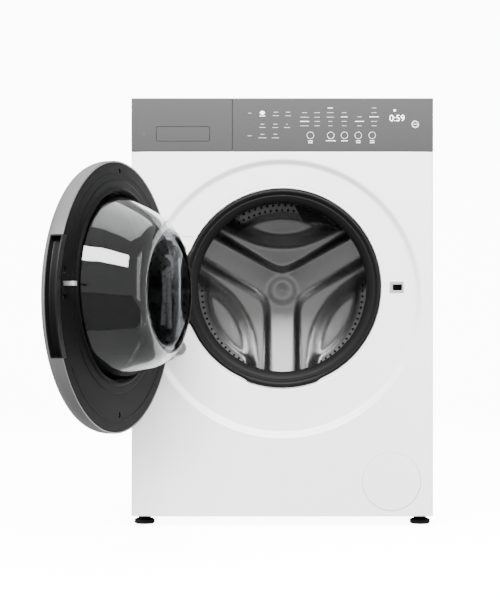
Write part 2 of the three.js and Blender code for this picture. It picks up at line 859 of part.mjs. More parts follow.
// ---------- Tub ----------
const hubRadius = 62;
const frontBearing = { inner: 20, outer: 35, y: [tubRearY + 1.5, tubRearY + 16] };
const rearBearing = { inner: 17, outer: 30, y: [tubRearY + 27, tubRearY + 41] };
const sealY = [tubRearY - 6, tubRearY + 1];
const hubY = [tubRearY - 6, tubRearY + 43];
const sumpHalfWidth = 60;
const sumpY = [120, 260];
const sumpDrop = 26;
const heaterZ = drumAxisZ - tubRadius - 13;

function tubFrontShell() {
  const wallBack = tubFrontY + tubWall;
  const inner = tubRadius - tubWall;
  const shell = turnedInside(
    [
      [neckRadius - tubWall, tubNeckY],
      [neckRadius, tubNeckY],
      [neckRadius, tubFrontY],
      [tubRadius - 10, tubFrontY],
      [tubRadius, tubFrontY + 10],
      [tubRadius, tubSplitY - 6],
      [tubRadius + 6, tubSplitY - 6],
      [tubRadius + 6, tubSplitY],
      [inner, tubSplitY],
      [inner, wallBack + 8],
      [inner - 8, wallBack],
      [neckRadius - tubWall, wallBack],
    ]);
  const sumpBottom = drumAxisZ - tubRadius - sumpDrop;
  const sumpTop = drumAxisZ - tubRise(sumpHalfWidth) + 1;
  const sump = block([-sumpHalfWidth, sumpHalfWidth], sumpY, [sumpBottom, sumpTop]);
  const sumpHollow = block(
    [-sumpHalfWidth + 4, sumpHalfWidth - 4],
    [sumpY[0] + 4, sumpY[1] - 4],
    [sumpBottom + 4, sumpTop + 8],
  );
  const heaterHole = block(
    [-28 - gap, 28 + gap],
    [sumpY[0] - 1, sumpY[0] + 5],
    [heaterZ - 6 - gap, heaterZ + 6 + gap],
  );
  const outlet = turnedZ(rodProfile(18, sumpBottom - 1, sumpBottom + 5), 0, sumpY[1] - 40);
  const bore = turnedInside(rodProfile(inner, sumpY[0] - 2, sumpY[1] + 2));
  return cut(join(shell, cut(sump, bore)), sumpHollow, heaterHole, outlet);
}

function tubRearShell() {
  const start = tubSplitY + gap;
  const inner = tubRadius - tubWall;
  const shell = turnedInside(
    [
      [inner, start],
      [tubRadius + 6, start],
      [tubRadius + 6, start + 6],
      [tubRadius, start + 6],
      [tubRadius, tubRearY + tubWall],
      [hubRadius, tubRearY + tubWall],
      [hubRadius, hubY[1]],
      [rearBearing.outer + gap, hubY[1]],
      [rearBearing.outer + gap, rearBearing.y[0] - gap],
      [rearBearing.inner + 6, rearBearing.y[0] - gap],
      [rearBearing.inner + 6, frontBearing.y[1] + gap],
      [frontBearing.outer + gap, frontBearing.y[1] + gap],
      [frontBearing.outer + gap, hubY[0]],
      [hubRadius, hubY[0]],
      [hubRadius, tubRearY],
      [inner, tubRearY],
    ]);
  const springLugs = sides.map(([, side]) =>
    block(
      [side * springX - 12, side * springX + 12],
      [springY - 12, springY + 12],
      [drumAxisZ + tubRise(springX + 12), drumAxisZ + tubRise(springX) + 38],
    ),
  );
  const damperLugs = sides.map(([, side]) =>
    block(
      [side * damperX - 12, side * damperX + 12],
      [damperY - 12, damperY + 12],
      [drumAxisZ - tubRise(damperX) - 14, drumAxisZ - tubRise(damperX + 12) + 2],
    ),
  );
  const bore = turnedInside(rodProfile(tubRadius - 1, tubSplitY, tubRearY));
  const lugs = [...springLugs, ...damperLugs].map((lug) => cut(lug, bore));
  return join(shell, ...lugs);
}

function frontCounterweight() {
  return turnedInside(
    [
      [neckRadius + 26, tubNeckY + 2],
      [tubRadius - 8, tubNeckY + 2],
      [tubRadius - 4, tubNeckY + 6],
      [tubRadius - 10, tubFrontY - gap],
      [neckRadius + 26, tubFrontY - gap],
    ]);
}

function topCounterweight() {
  const slab = block([-70, 150], [120, 280], [drumAxisZ + tubRise(150) + 6, drumAxisZ + tubRadius + 50]);
  return cut(slab, turnedInside(rodProfile(tubRadius + gap, 100, tubSplitY - 6)));
}

function heater() {
  const legs = [-18, 18].map((x) => turnedY(rodProfile(4.5, sumpY[0] - 12, sumpY[1] - 16), x, heaterZ, 8));
  const bend = rodX(4.5, -20, 20, sumpY[1] - 18, heaterZ);
  const plug = block([-28, 28], [sumpY[0] - 8, sumpY[0] + 10], [heaterZ - 6, heaterZ + 6]);
  return join(plug, bend, ...legs);
}

function bearing({ inner, outer, y }) {
  return turnedInside(tubeProfile(inner + gap, outer, ...y));
}

function shaftSeal() {
  return turnedInside(tubeProfile(frontBearing.inner + gap, frontBearing.outer, ...sealY));
}

const statorY = [tubRearY + tubWall + 2, tubRearY + 34];
const statorRadius = 115;
const poleCount = 18;

function stator() {
  const yoke = turnedInside(tubeProfile(hubRadius + gap, statorRadius - 22, ...statorY));
  const poles = Array.from({ length: poleCount }, (_, i) => {
    const pole = new THREE.BoxGeometry(26, statorY[1] - statorY[0] - 4, 9);
    pole.translate(statorRadius - 13, (statorY[0] + statorY[1]) / 2, 0);
    return solidOf(pole.rotateY((2 * Math.PI * i) / poleCount).translate(0, 0, drumAxisZ));
  });
  return join(yoke, ...poles);
}

function spring(side) {
  const low = drumAxisZ + tubRise(springX) + 38 + gap;
  const coil = tubeProfile(springRadius - 4, springRadius, low, springTop - gap);
  return turnedZ(coil, side * springX, springY, 12);
}

const damperBase = trayFloor + 20 + gap;
const damperTop = damperBase + 120;

function damperCylinder(side) {
  const profile = [
    [0, damperBase],
    [damperRadius, damperBase],
    [damperRadius, damperTop],
    [damperRodRadius + gap, damperTop],
    [damperRodRadius + gap, damperBase + 10],
    [0, damperBase + 10],
  ];
  return turnedZ(profile, side * damperX, damperY);
}

function damperRod(side) {
  const top = drumAxisZ - tubRise(damperX) - 14 - gap;
  return turnedZ(rodProfile(damperRodRadius, damperTop - 50, top), side * damperX, damperY);
}

// ---------- Drum ----------
function drumShell() {
  return turnedInside(
    tubeProfile(drumRadius - drumSheet, drumRadius, drumFrontY + 8, drumBackY - 6));
}

function drumFrontRing() {
  const y = drumFrontY;
  return turnedInside(
    [
      [drumMouthRadius, y + 6],
      [drumMouthRadius + 3, y],
      [drumRadius - 12, y],
      [drumRadius, y + 4],
      [drumRadius, y + 8 - gap],
      [drumRadius - drumSheet, y + 8 - gap],
      [drumRadius - 13, y + drumSheet],
      [drumMouthRadius + 4, y + drumSheet],
      [drumMouthRadius + 2, y + 7],
    ]);
}

const shaftRadius = frontBearing.inner;

function drumBack() {
  const y = drumBackY;
  const hole = shaftRadius + gap;
  return turnedInside(
    [
      [hole, y - drumSheet - 8],
      [60, y - drumSheet - 8],
      [80, y - drumSheet],
      [drumRadius - 8, y - drumSheet],
      [drumRadius - drumSheet, y - 6 + gap],
      [drumRadius, y - 6 + gap],
      [drumRadius - 7, y],
      [79, y],
      [59, y - 8],
      [hole, y - 8],
    ]);
}

const lifterCount = 3;
const lifterHeight = 52;

function lifter(index) {
  const outline = outlineOf([
    [-34, 0],
    [34, 0],
    [14, lifterHeight - 10],
    [6, lifterHeight],
    [-6, lifterHeight],
    [-14, lifterHeight - 10],
  ]);
  const length = [drumFrontY + 30, drumBackY - 30];
  const body = plateY(outline, length);
  const mesh = body.getMesh();
  const placed = new THREE.BufferGeometry();
  placed.setAttribute("position", new THREE.BufferAttribute(mesh.vertProperties, 3));
  placed.setIndex(new THREE.BufferAttribute(mesh.triVerts, 1));
  const turn = (2 * Math.PI * index) / lifterCount + Math.PI / 6;
  placed.translate(0, 0, -drumRadius + drumSheet - 1).rotateY(turn).translate(0, 0, drumAxisZ);
  const inside = turnedInside(rodProfile(drumRadius - drumSheet - gap, 0, depth));
  return solidOf(placed).intersect(inside);
}

function spider() {
  const y = [drumBackY + gap, drumBackY + 14];
  const hub = turnedInside(tubeProfile(shaftRadius + gap, 42, ...y));
  const arms = Array.from({ length: lifterCount }, (_, i) => {
    const arm = new THREE.BoxGeometry(34, y[1] - y[0], drumRadius - 44);
    arm.translate(0, (y[0] + y[1]) / 2, -(drumRadius + 26) / 2);
    return solidOf(arm.rotateY((2 * Math.PI * i) / lifterCount).translate(0, 0, drumAxisZ));
  });
  return join(hub, ...arms);
}

function drumShaft() {
  const front = drumBackY - 14;
  const step = frontBearing.y[1] + 4;
  const end = rearBearing.y[1] + 20;
  return turnedInside(
    [
      [0, front - 6],
      [30, front - 6],
      [30, front],
      [shaftRadius, front],
      [shaftRadius, step],
      [rearBearing.inner, step],
      [rearBearing.inner, end],
      [0, end],
    ]);
}

function rotor() {
  const start = statorY[0] + 4;
  const plate = [hubY[1] + 4, hubY[1] + 8];
  const inner = statorRadius + 3;
  return turnedInside(
    [
      [inner, start],
      [inner + 10, start],
      [inner + 10, plate[1]],
      [40, plate[1]],
      [34, plate[1] + 4],
      [rearBearing.inner + gap, plate[1] + 4],
      [rearBearing.inner + gap, plate[0]],
      [inner, plate[0]],
    ]);
}

// ---------- Drain ----------
// A round cover that snaps into the panel by a spigot.
function filterCover() {
  const spigot = filterCoverRadius - 8;
  return turnedY(
    [
      [0, 0.2],
      [filterCoverRadius - 0.4, 0.2],
      [filterCoverRadius, 0.6],
      [filterCoverRadius, 3],
      [spigot, 3],
      [spigot, 10],
      [spigot - 2, 10],
      [spigot - 2, 3],
      [0, 3],
    ],
    filterX,
    filterZ,
  );
}

const pumpRadius = 36;
const capRadius = 29;

function drainPump() {
  const flange = turnedY(tubeProfile(pumpRadius - 4, pumpRadius + 8, 24, 28), filterX, filterZ, innerSteps);
  const barrel = turnedY(
    [
      [pumpRadius - 4, 27],
      [pumpRadius, 27],
      [pumpRadius, 116],
      [26, 116],
      [26, 170],
      [0, 170],
      [0, 112],
      [pumpRadius - 4, 112],
    ],
    filterX,
    filterZ,
    innerSteps,
  );
  const foot = block([filterX - 24, filterX + 24], [90, 108], [trayFloor + gap, filterZ - pumpRadius + 4]);
  const spigot = block([filterX - 64, filterX - pumpRadius + 3], [70, 92], [filterZ + 2, filterZ + 24]);
  const bore = turnedY(rodProfile(pumpRadius - 4, 20, 112), filterX, filterZ, innerSteps);
  return cut(join(barrel, flange, foot, spigot), bore);
}

function filterCap() {
  const knob = block([filterX - 24, filterX + 24], [12, 20], [filterZ - 4, filterZ + 4]);
  const plug = turnedY(rodProfile(capRadius, 18, 36), filterX, filterZ, innerSteps);
  const strainer = turnedY(tubeProfile(19, 23, 35, 100), filterX, filterZ, innerSteps);
  const windows = [0, 1].map((i) =>
    block(
      i ? [filterX - 8, filterX + 8] : [filterX - 40, filterX + 40],
      [46, 92],
      i ? [filterZ - 40, filterZ + 40] : [filterZ - 8, filterZ + 8],
    ),
  );
  return join(knob, plug, cut(strainer, ...windows));
}

// ---------- Assembly ----------
const casing = new THREE.Group();
for (const [side, sign] of sides) {
  casing.add(
    meshOf(`side_panel_${side}`, sidePanel(sign), "whiteEnamel"),
    meshOf(`suspension_spring_${side}`, spring(sign), "zincSteel"),
    meshOf(`damper_cylinder_${side}`, damperCylinder(sign), "blackPlastic"),
  );
}
casing.add(
  meshOf("front_panel", frontPanel(), "whiteEnamel"),
  meshOf("top_panel", lid(), "whiteEnamel"),
  meshOf("rear_panel", rearPanel(), "zincSteel"),
  meshOf("rear_access_cover", rearAccessCover(), "zincSteel"),
  meshOf("base_tray", baseTray(), "darkPlastic"),
  meshOf("fascia", fascia(), "silverPlastic"),
  meshOf("control_board", controlBoard(), "circuitBoard"),
  meshOf("dispenser_housing", dispenserHousing(), "whitePlastic"),
  meshOf("water_inlet_valve", waterInletValve(), "whitePlastic"),
  meshOf("mains_cable_gland", cableGland(), "blackPlastic"),
  meshOf("door_gasket", gasket(), "greyRubber"),
  meshOf("door_lock", doorLock(), "silverPlastic"),
  meshOf("hinge_bracket", hingeBracket(), "satinMetal"),
  meshOf("hinge_pin", hingePin(), "bearingSteel"),
  meshOf("drain_pump", drainPump(), "whitePlastic"),
);

const drawer = new THREE.Group();
drawer.add(
  meshOf("drawer_front", drawerFront(), "silverPlastic"),
  meshOf("drawer_tray", drawerTray(), "whitePlastic"),
  meshOf("siphon_cap", siphonCap(), "silverPlastic"),
  meshOf("drawer_flap", drawerFlap(), "silverPlastic"),
);

const tub = new THREE.Group();
tub.add(
  meshOf("tub_front_shell", tubFrontShell(), "tubPlastic"),
  meshOf("tub_rear_shell", tubRearShell(), "tubPlastic"),
  meshOf("front_counterweight", frontCounterweight(), "concrete"),
  meshOf("top_counterweight", topCounterweight(), "concrete"),
  meshOf("wash_heater", heater(), "bearingSteel"),
  meshOf("front_bearing", bearing(frontBearing), "bearingSteel"),
  meshOf("rear_bearing", bearing(rearBearing), "bearingSteel"),
  meshOf("shaft_seal", shaftSeal(), "greyRubber"),
  meshOf("motor_stator", stator(), "copperWinding"),
  meshOf("spray_nozzle", sprayNozzle(), "blackPlastic"),
);
for (const [side, sign] of sides) {
  tub.add(meshOf(`damper_rod_${side}`, damperRod(sign), "bearingSteel"));
}

const drum = new THREE.Group();
drum.add(
  meshOf("drum_shell", drumShell(), "drumSteel"),
  meshOf("drum_front_ring", drumFrontRing(), "drumSteel"),
  meshOf("drum_back", drumBack(), "drumSteel"),
  meshOf("drum_spider", spider(), "castAluminium"),
  meshOf("drum_shaft", drumShaft(), "bearingSteel"),
  meshOf("motor_rotor", rotor(), "zincSteel"),
);
for (let i = 0; i < lifterCount; i++) {
  drum.add(meshOf(`drum_lifter_${i + 1}`, lifter(i), "silverPlastic"));
}

// The door turns about its hinge pin, so its pieces hang from a group on that axis.
const doorPieces = new THREE.Group();
doorPieces.position.set(-hingeAxisX, -hingeY, 0);
doorPieces.add(
  meshOf("door_outer_ring", doorOuterRing(), "satinMetal"),
  meshOf("door_front_cover", doorFrontCover(), "blackPlastic"),
  meshOf("door_inner_frame", doorInnerFrame(), "darkPlastic"),
  meshOf("door_grip", gripCup(), "blackPlastic"),
  meshOf("door_glass", doorGlass(), "clearGlass"),
  meshOf("door_latch_hook", latchHook(), "satinMetal"),
  meshOf("door_hinge_arm", hingeArm(), "satinMetal"),
);
const door = new THREE.Group();
door.position.set(hingeAxisX, hingeY, 0);
door.rotation.z = -THREE.MathUtils.degToRad(doorOpening);
door.add(doorPieces);

const service = new THREE.Group();
service.add(
  meshOf("filter_cover", filterCover(), "whiteEnamel"),
  meshOf("filter_cap", filterCap(), "whitePlastic"),
);
for (const [place, side, y] of footPlaces) {
  service.add(meshOf(`foot_${place}`, foot(side, y), "blackPlastic"));
}

const machine = new THREE.Group();
machine.add(casing, drawer, tub, drum, door, service);

// The origin is the middle of the whole outline's base.
const bounds = new THREE.Box3().setFromObject(machine, true);
const middle = bounds.getCenter(new THREE.Vector3());
machine.position.set(-middle.x, -middle.y, -bounds.min.z);

const washingMachine = new THREE.Group();
washingMachine.add(machine);
export default washingMachine;
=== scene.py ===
# %% [markdown]
# # A front load washing machine with its door open
# The lesson dresses a measured model of the machine. Every metal and plastic piece was already drawn to size;
# here each one gets the rounded edges, pressings, screws and finishes that the real machine has.
# The model is loaded first as a fixed frame, so that each new piece can be placed by the sizes it already has.

import json
import math

import bmesh
import bpy
from mathutils import Matrix, Vector


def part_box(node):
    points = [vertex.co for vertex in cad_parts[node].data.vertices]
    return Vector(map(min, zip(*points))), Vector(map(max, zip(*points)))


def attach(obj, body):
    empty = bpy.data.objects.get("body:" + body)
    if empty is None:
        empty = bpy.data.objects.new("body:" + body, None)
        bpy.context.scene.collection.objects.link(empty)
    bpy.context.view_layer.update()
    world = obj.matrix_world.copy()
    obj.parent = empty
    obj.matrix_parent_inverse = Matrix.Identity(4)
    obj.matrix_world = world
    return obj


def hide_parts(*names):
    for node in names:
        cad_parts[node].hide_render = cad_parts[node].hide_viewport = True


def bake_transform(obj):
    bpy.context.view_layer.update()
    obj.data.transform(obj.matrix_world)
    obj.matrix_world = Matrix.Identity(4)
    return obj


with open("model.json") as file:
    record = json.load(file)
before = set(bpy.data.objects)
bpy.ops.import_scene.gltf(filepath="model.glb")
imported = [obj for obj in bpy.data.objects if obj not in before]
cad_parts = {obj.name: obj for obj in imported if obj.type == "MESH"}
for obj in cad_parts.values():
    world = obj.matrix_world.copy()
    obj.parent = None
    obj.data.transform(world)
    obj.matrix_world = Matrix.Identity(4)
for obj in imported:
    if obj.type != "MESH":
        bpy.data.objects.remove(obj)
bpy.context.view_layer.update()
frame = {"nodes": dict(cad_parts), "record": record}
print("pieces in the frame:", len(frame["nodes"]))

# %% [markdown]
# ## Places
# Sizes are easier to read in millimetres from the casing's own front: X to the right of its middle, Y into the
# machine from the front face, Z up from the floor. One function turns such a place into the frame's metres.

# %% Casing places
MM = 0.001
CASING_X = (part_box("side_panel_left")[0].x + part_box("side_panel_right")[1].x) / 2
FRONT_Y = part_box("front_panel")[0].y
DRUM_Z = 474.0
DOOR_Z = 452.0


def at(x, y, z):
    """A place in the frame, from millimetres measured on the casing."""
    return Vector((CASING_X + x * MM, FRONT_Y + y * MM, z * MM))


print("the casing's front middle is at", tuple(round(v, 4) for v in at(0, 0, 0)))

# %% [markdown]
# ## Camera
# The camera stands on the casing's middle line, a little over three metres in front of it and at half its height,
# and looks straight at it. A long lens keeps the casing's edges upright, and a small shift leaves room on the
# left for the open door.

# %% Camera
camera = bpy.data.objects.new("camera", bpy.data.cameras.new("camera"))
bpy.context.collection.objects.link(camera)
camera.location = at(0, -3068, 425)
camera.rotation_euler = (math.radians(90), 0, 0)
camera.data.sensor_width = 36
camera.data.lens = 92.65
camera.data.shift_x = -0.0538
camera.data.shift_y = 0.02
bpy.context.scene.camera = camera
print("camera distance:", round(camera.location.y - FRONT_Y, 3))

# %% [markdown]
# ## Studio
# A white studio: one smooth sheet is the floor and curves up behind the machine, and wide soft lights hang above
# the front and at both sides. Pressed steel shows its shape only through such soft reflections.

# %% Studio sheet
backdrop_bm = bmesh.new()
edge = [backdrop_bm.verts.new((-9, y, z)) for y, z in ((-9, -0.0005), (3.0, -0.0005), (5.5, -0.0005), (5.5, 5.5))]
for a, b in zip(edge, edge[1:]):
    backdrop_bm.edges.new((a, b))
bmesh.ops.bevel(backdrop_bm, geom=[edge[2]], offset=2.0, offset_type="OFFSET", segments=16, profile=0.5,
                affect="VERTICES", material=-1)
swept = bmesh.ops.extrude_edge_only(backdrop_bm, edges=backdrop_bm.edges[:])["geom"]
bmesh.ops.translate(backdrop_bm, vec=(18, 0, 0), verts=[g for g in swept if isinstance(g, bmesh.types.BMVert)])
bmesh.ops.recalc_face_normals(backdrop_bm, faces=backdrop_bm.faces)
backdrop_mesh = bpy.data.meshes.new("studio_sheet")
backdrop_bm.to_mesh(backdrop_mesh)
backdrop_bm.free()
backdrop_mesh.shade_smooth()
studio_sheet = bpy.data.objects.new("studio_sheet", backdrop_mesh)
bpy.context.collection.objects.link(studio_sheet)
studio_sheet.visible_diffuse = studio_sheet.visible_glossy = studio_sheet.visible_transmission = False
print("studio sheet faces:", len(backdrop_mesh.polygons))

# %% Lights
world = bpy.data.worlds.new("studio")
bpy.context.scene.world = world
world.use_nodes = True
world.node_tree.nodes["Background"].inputs["Color"].default_value = (1, 1, 1, 1)
world.node_tree.nodes["Background"].inputs["Strength"].default_value = 0.9


def softbox(name, place, target, size, watts, mirrored=True):
    """A wide soft light that faces the target, and may be kept out of mirror images."""
    light = bpy.data.objects.new(name, bpy.data.lights.new(name, "AREA"))
    light.data.shape = "RECTANGLE"
    light.data.size, light.data.size_y = size
    light.data.energy = watts
    light.location = place
    light.visible_glossy = mirrored
    light.rotation_euler = (Vector(target) - Vector(place)).to_track_quat("-Z", "Y").to_euler()
    bpy.context.collection.objects.link(light)
    return light


softbox("front_softbox", (0.1, -3.4, 3.0), (0.05, 0, 0.4), (3.2, 1.2), 720)
softbox("left_softbox", (-2.8, -1.6, 1.3), (0, 0, 0.45), (1.2, 2.4), 95)
softbox("right_softbox", (2.9, -1.2, 1.2), (0, 0, 0.45), (1.2, 2.4), 85, mirrored=False)
softbox("top_softbox", (0.1, 0.4, 3.2), (0.05, 0.1, 0), (3.0, 3.0), 390, mirrored=False)
flag_bm = bmesh.new()
flag_edge = [flag_bm.verts.new((-1.7, y, z)) for y, z in ((-0.7, 0.003), (-3.2, 0.003), (-3.3, 0.1))]
for a, b in zip(flag_edge, flag_edge[1:]):
    flag_bm.edges.new((a, b))
drawn = bmesh.ops.extrude_edge_only(flag_bm, edges=flag_bm.edges[:])["geom"]
bmesh.ops.translate(flag_bm, vec=(3.4, 0, 0), verts=[g for g in drawn if isinstance(g, bmesh.types.BMVert)])
flag_mesh = bpy.data.meshes.new("black_flag")
flag_bm.to_mesh(flag_mesh)
flag_bm.free()
black_flag = bpy.data.objects.new("black_flag", flag_mesh)
bpy.context.collection.objects.link(black_flag)
black_flag.visible_camera = black_flag.visible_diffuse = False
black_flag.visible_shadow = black_flag.visible_transmission = False

# %% [markdown]
# ## Helpers for finishes
# Colours are picked as sRGB hex values, as on a paint card, and shaders count in linear light, so one function
# turns the first into the second. Another adds a node, sets its sockets and joins whatever feeds it.

# %% Colour and nodes
def paint(hex_colour):
    """A linear colour from an sRGB hex value."""
    channels = [int(hex_colour[i:i + 2], 16) / 255 for i in (1, 3, 5)]
    linear = [c / 12.92 if c <= 0.04045 else ((c + 0.055) / 1.055) ** 2.4 for c in channels]
    return (*linear, 1.0)


def add_node(tree, kind, inputs=None, **settings):
    """Adds a node, with its settings, socket values and links."""
    made = tree.nodes.new(kind)
    for name, value in settings.items():
        setattr(made, name, value)
    for key, value in (inputs or {}).items():
        if isinstance(value, bpy.types.NodeSocket):
            tree.links.new(value, made.inputs[key])
        else:
            made.inputs[key].default_value = value
    return made


def new_finish(name, colour, roughness, metallic=0.0, **sockets):
    """A material with its constant values set on the shader's own sockets."""
    material = bpy.data.materials.new(name)
    material.use_nodes = True
    shader = material.node_tree.nodes["Principled BSDF"]
    shader.inputs["Base Color"].default_value = paint(colour)
    shader.inputs["Roughness"].default_value = roughness
    shader.inputs["Metallic"].default_value = metallic
    for key, value in sockets.items():
        shader.inputs[key.replace("_", " ")].default_value = value
    return material


def grain(material, size_mm, height_mm, rough=None, tint=None, stretch=(1, 1, 1), detail=2.0):
    """A fine surface grain: bump, and if asked a spread of roughness and of colour, at a real size."""
    tree = material.node_tree
    shader = tree.nodes["Principled BSDF"]
    place = add_node(tree, "ShaderNodeTexCoord")
    mapped = add_node(tree, "ShaderNodeMapping", {"Vector": place.outputs["Object"], "Scale": stretch})
    noise = add_node(tree, "ShaderNodeTexNoise", {
        "Vector": mapped.outputs["Vector"], "Scale": 1 / (size_mm * MM), "Detail": detail, "Roughness": 0.55})
    if height_mm:
        bump = add_node(tree, "ShaderNodeBump", {
            "Height": noise.outputs["Fac"], "Distance": height_mm * MM, "Strength": 0.6})
        tree.links.new(bump.outputs["Normal"], shader.inputs["Normal"])
    if rough:
        spread = add_node(tree, "ShaderNodeMapRange", {
            "Value": noise.outputs["Fac"], "To Min": rough[0], "To Max": rough[1]})
        tree.links.new(spread.outputs["Result"], shader.inputs["Roughness"])
    if tint:
        blend = add_node(tree, "ShaderNodeMix", data_type="RGBA")
        blend.inputs[6].default_value, blend.inputs[7].default_value = paint(tint[0]), paint(tint[1])
        tree.links.new(noise.outputs["Fac"], blend.inputs[0])
        tree.links.new(blend.outputs[2], shader.inputs["Base Color"])
    return material


studio_paper = new_finish("pale_studio_paper", "#F6F6F6", 0.9, Emission_Color=(1, 1, 1, 1), Emission_Strength=10.0)
grain(studio_paper, 4.0, 0.05, rough=(0.86, 0.94), tint=("#F4F4F4", "#F8F8F8"))
studio_sheet.data.materials.append(studio_paper)
flag_cloth = new_finish("black_flag_cloth", "#050505", 0.95, Specular_IOR_Level=0.05, Emission_Color=(1, 1, 1, 1),
                        Emission_Strength=0.22)
grain(flag_cloth, 3.0, 0.05, rough=(0.9, 1.0))
black_flag.data.materials.append(flag_cloth)
print("white card in linear light:", round(paint("#F2F2F2")[0], 3))

# %% [markdown]
# ## Enamels and lacquers
# The casing is sheet steel under baked enamel: white, smooth, with a faint orange peel about 3 mm across that
# only shows where a reflection bends. The control head is lacquered in satin silver with fine flakes.

# %% Enamel and lacquer
white_enamel = new_finish("baked_white_enamel", "#F1F1F1", 0.34, Coat_Weight=0.25, Coat_Roughness=0.12)
grain(white_enamel, 3.0, 0.01, rough=(0.30, 0.38), tint=("#EFEFEF", "#F3F3F3"))
white_moulding = new_finish("moulded_white_abs", "#EFEFEF", 0.32)
grain(white_moulding, 1.2, 0.01, rough=(0.28, 0.36), tint=("#EDEDED", "#F1F1F1"))

silver_lacquer = new_finish("satin_silver_lacquer", "#393939", 0.46, Specular_IOR_Level=0.3)
grain(silver_lacquer, 0.7, 0.004, rough=(0.4, 0.48), tint=("#323232", "#363636"))
print("enamels made")

# %% [markdown]
# The silver head has painted shade towards its lower edge and painted light at its top. It is drawn from the
# height on the piece itself, so it stays put from any side.

# %% Painted shade down the silver head
fascia_low, fascia_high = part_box("fascia")
tree = silver_lacquer.node_tree
shade_place = add_node(tree, "ShaderNodeTexCoord")
shade_height = add_node(tree, "ShaderNodeSeparateXYZ", {"Vector": shade_place.outputs["Object"]})
# Painted shade and painted light: the lacquer's colour is scaled from 0.86 at the lower edge to 1.12 at the top.
fade = add_node(tree, "ShaderNodeMapRange", {
    "Value": shade_height.outputs["Z"], "From Min": fascia_low.z, "From Max": fascia_high.z,
    "To Min": 0.86, "To Max": 1.12})
shader = tree.nodes["Principled BSDF"]
flake_colour = shader.inputs["Base Color"].links[0].from_socket
shaded_colour = add_node(tree, "ShaderNodeVectorMath", {0: flake_colour, "Scale": fade.outputs["Result"]}, operation="SCALE")
tree.links.new(shaded_colour.outputs["Vector"], shader.inputs["Base Color"])
print("the fade runs from", round(fascia_low.z, 3), "to", round(fascia_high.z, 3))

# %% [markdown]
# ## Metals
# The door's rim is satin aluminium, the drum is pressed and polished stainless steel, and the hinge and latch are
# zinc-plated pressings. Rolled sheet keeps faint streaks, drawn here as noise stretched along the roll.

# %% Metals
rim_metal = new_finish("satin_aluminium_rim", "#6A6A6A", 0.42, metallic=0.55)
grain(rim_metal, 0.8, 0.003, rough=(0.34, 0.44), tint=("#646464", "#6C6C6C"))
zinc_sheet = new_finish("zinc_coated_sheet", "#B4B6B8", 0.42, metallic=0.9)
grain(zinc_sheet, 14.0, 0.004, rough=(0.34, 0.5), tint=("#A4A6A9", "#C0C2C4"), detail=4)
plated_steel = new_finish("zinc_plated_pressing", "#C4C4C4", 0.28, metallic=0.95)
grain(plated_steel, 2.0, 0.004, rough=(0.22, 0.36), tint=("#B8B8B8", "#CCCCCC"))
ground_steel = new_finish("ground_bearing_steel", "#CFCFCF", 0.18, metallic=1.0)
grain(ground_steel, 0.6, 0.002, rough=(0.14, 0.24), stretch=(1, 8, 1))
die_cast = new_finish("die_cast_aluminium", "#9EA0A2", 0.55, metallic=0.8)
grain(die_cast, 1.6, 0.06, rough=(0.48, 0.64), tint=("#94969A", "#A6A8AA"))
winding = new_finish("lacquered_copper_winding", "#8A4A28", 0.38, metallic=0.7)
grain(winding, 1.1, 0.2, rough=(0.3, 0.46), tint=("#7A3D1F", "#9C5A34"), stretch=(1, 6, 1))
print("metals made")

# %% [markdown]
# ## Plastics and rubber
# Plastics differ mostly in their grain: the door's frame is finely textured so that it doesn't glare, the grip
# and feet are deeper black, and the mouth's seal is a soft grey rubber with a dull sheen.

# %% Plastics and rubber
dark_frame = new_finish("fine_textured_dark_abs", "#080809", 0.6, Specular_IOR_Level=0.06)
grain(dark_frame, 0.6, 0.03, rough=(0.5, 0.6), tint=("#060606", "#09090A"))
black_plastic = new_finish("moulded_black_abs", "#0C0C0D", 0.45, Specular_IOR_Level=0.18)
grain(black_plastic, 0.8, 0.02, rough=(0.38, 0.5), tint=("#0A0A0B", "#0E0E0F"))
tinted_cover = new_finish("tinted_gloss_cover", "#0E0F10", 0.08, Specular_IOR_Level=0.4)
grain(tinted_cover, 90.0, 0.0, rough=(0.05, 0.08), tint=("#0D0E0F", "#101112"))
foot_rubber = new_finish("moulded_black_rubber", "#0D0D0D", 0.62, Specular_IOR_Level=0.2)
grain(foot_rubber, 1.0, 0.03, rough=(0.55, 0.7), tint=("#0B0B0B", "#101010"))
seal_rubber = new_finish("soft_grey_epdm_rubber", "#0F0F0F", 0.55, Specular_IOR_Level=0.1)
grain(seal_rubber, 1.4, 0.02, rough=(0.44, 0.58), tint=("#0D0D0D", "#111111"))
lock_plastic = new_finish("grey_nylon", "#8E8E8F", 0.5)
grain(lock_plastic, 0.8, 0.02, rough=(0.44, 0.56), tint=("#888889", "#949495"))
pale_plastic = new_finish("moulded_polypropylene", "#D9DBDD", 0.48)
grain(pale_plastic, 1.5, 0.02, rough=(0.42, 0.54), tint=("#D4D6D8", "#DEE0E2"))
tub_plastic = new_finish("filled_polypropylene", "#B9BDC1", 0.58)
grain(tub_plastic, 2.5, 0.06, rough=(0.5, 0.66), tint=("#B0B4B8", "#C2C6CA"), detail=4)
cast_weight = new_finish("cast_concrete_weight", "#8A8780", 0.9)
grain(cast_weight, 3.0, 0.5, rough=(0.84, 0.96), tint=("#79766F", "#9B9891"), detail=6)
board_lacquer = new_finish("lacquered_circuit_board", "#1E3B2A", 0.35)
grain(board_lacquer, 4.0, 0.05, rough=(0.3, 0.42), tint=("#1A3525", "#24452F"))
print("plastics made")

# %% [markdown]
# ## Glass
# The door's bowl is pressed soda-lime glass, thick at its flange. It is clear, so its look comes from what it
# bends and reflects, with only a trace of unevenness from the mould.

# %% Glass
pressed_glass = new_finish("pressed_soda_lime_glass", "#B6B8B9", 0.02, Transmission_Weight=1.0, IOR=1.5)
grain(pressed_glass, 60.0, 0.12, rough=(0.01, 0.03), detail=1.0)
print("glass made")

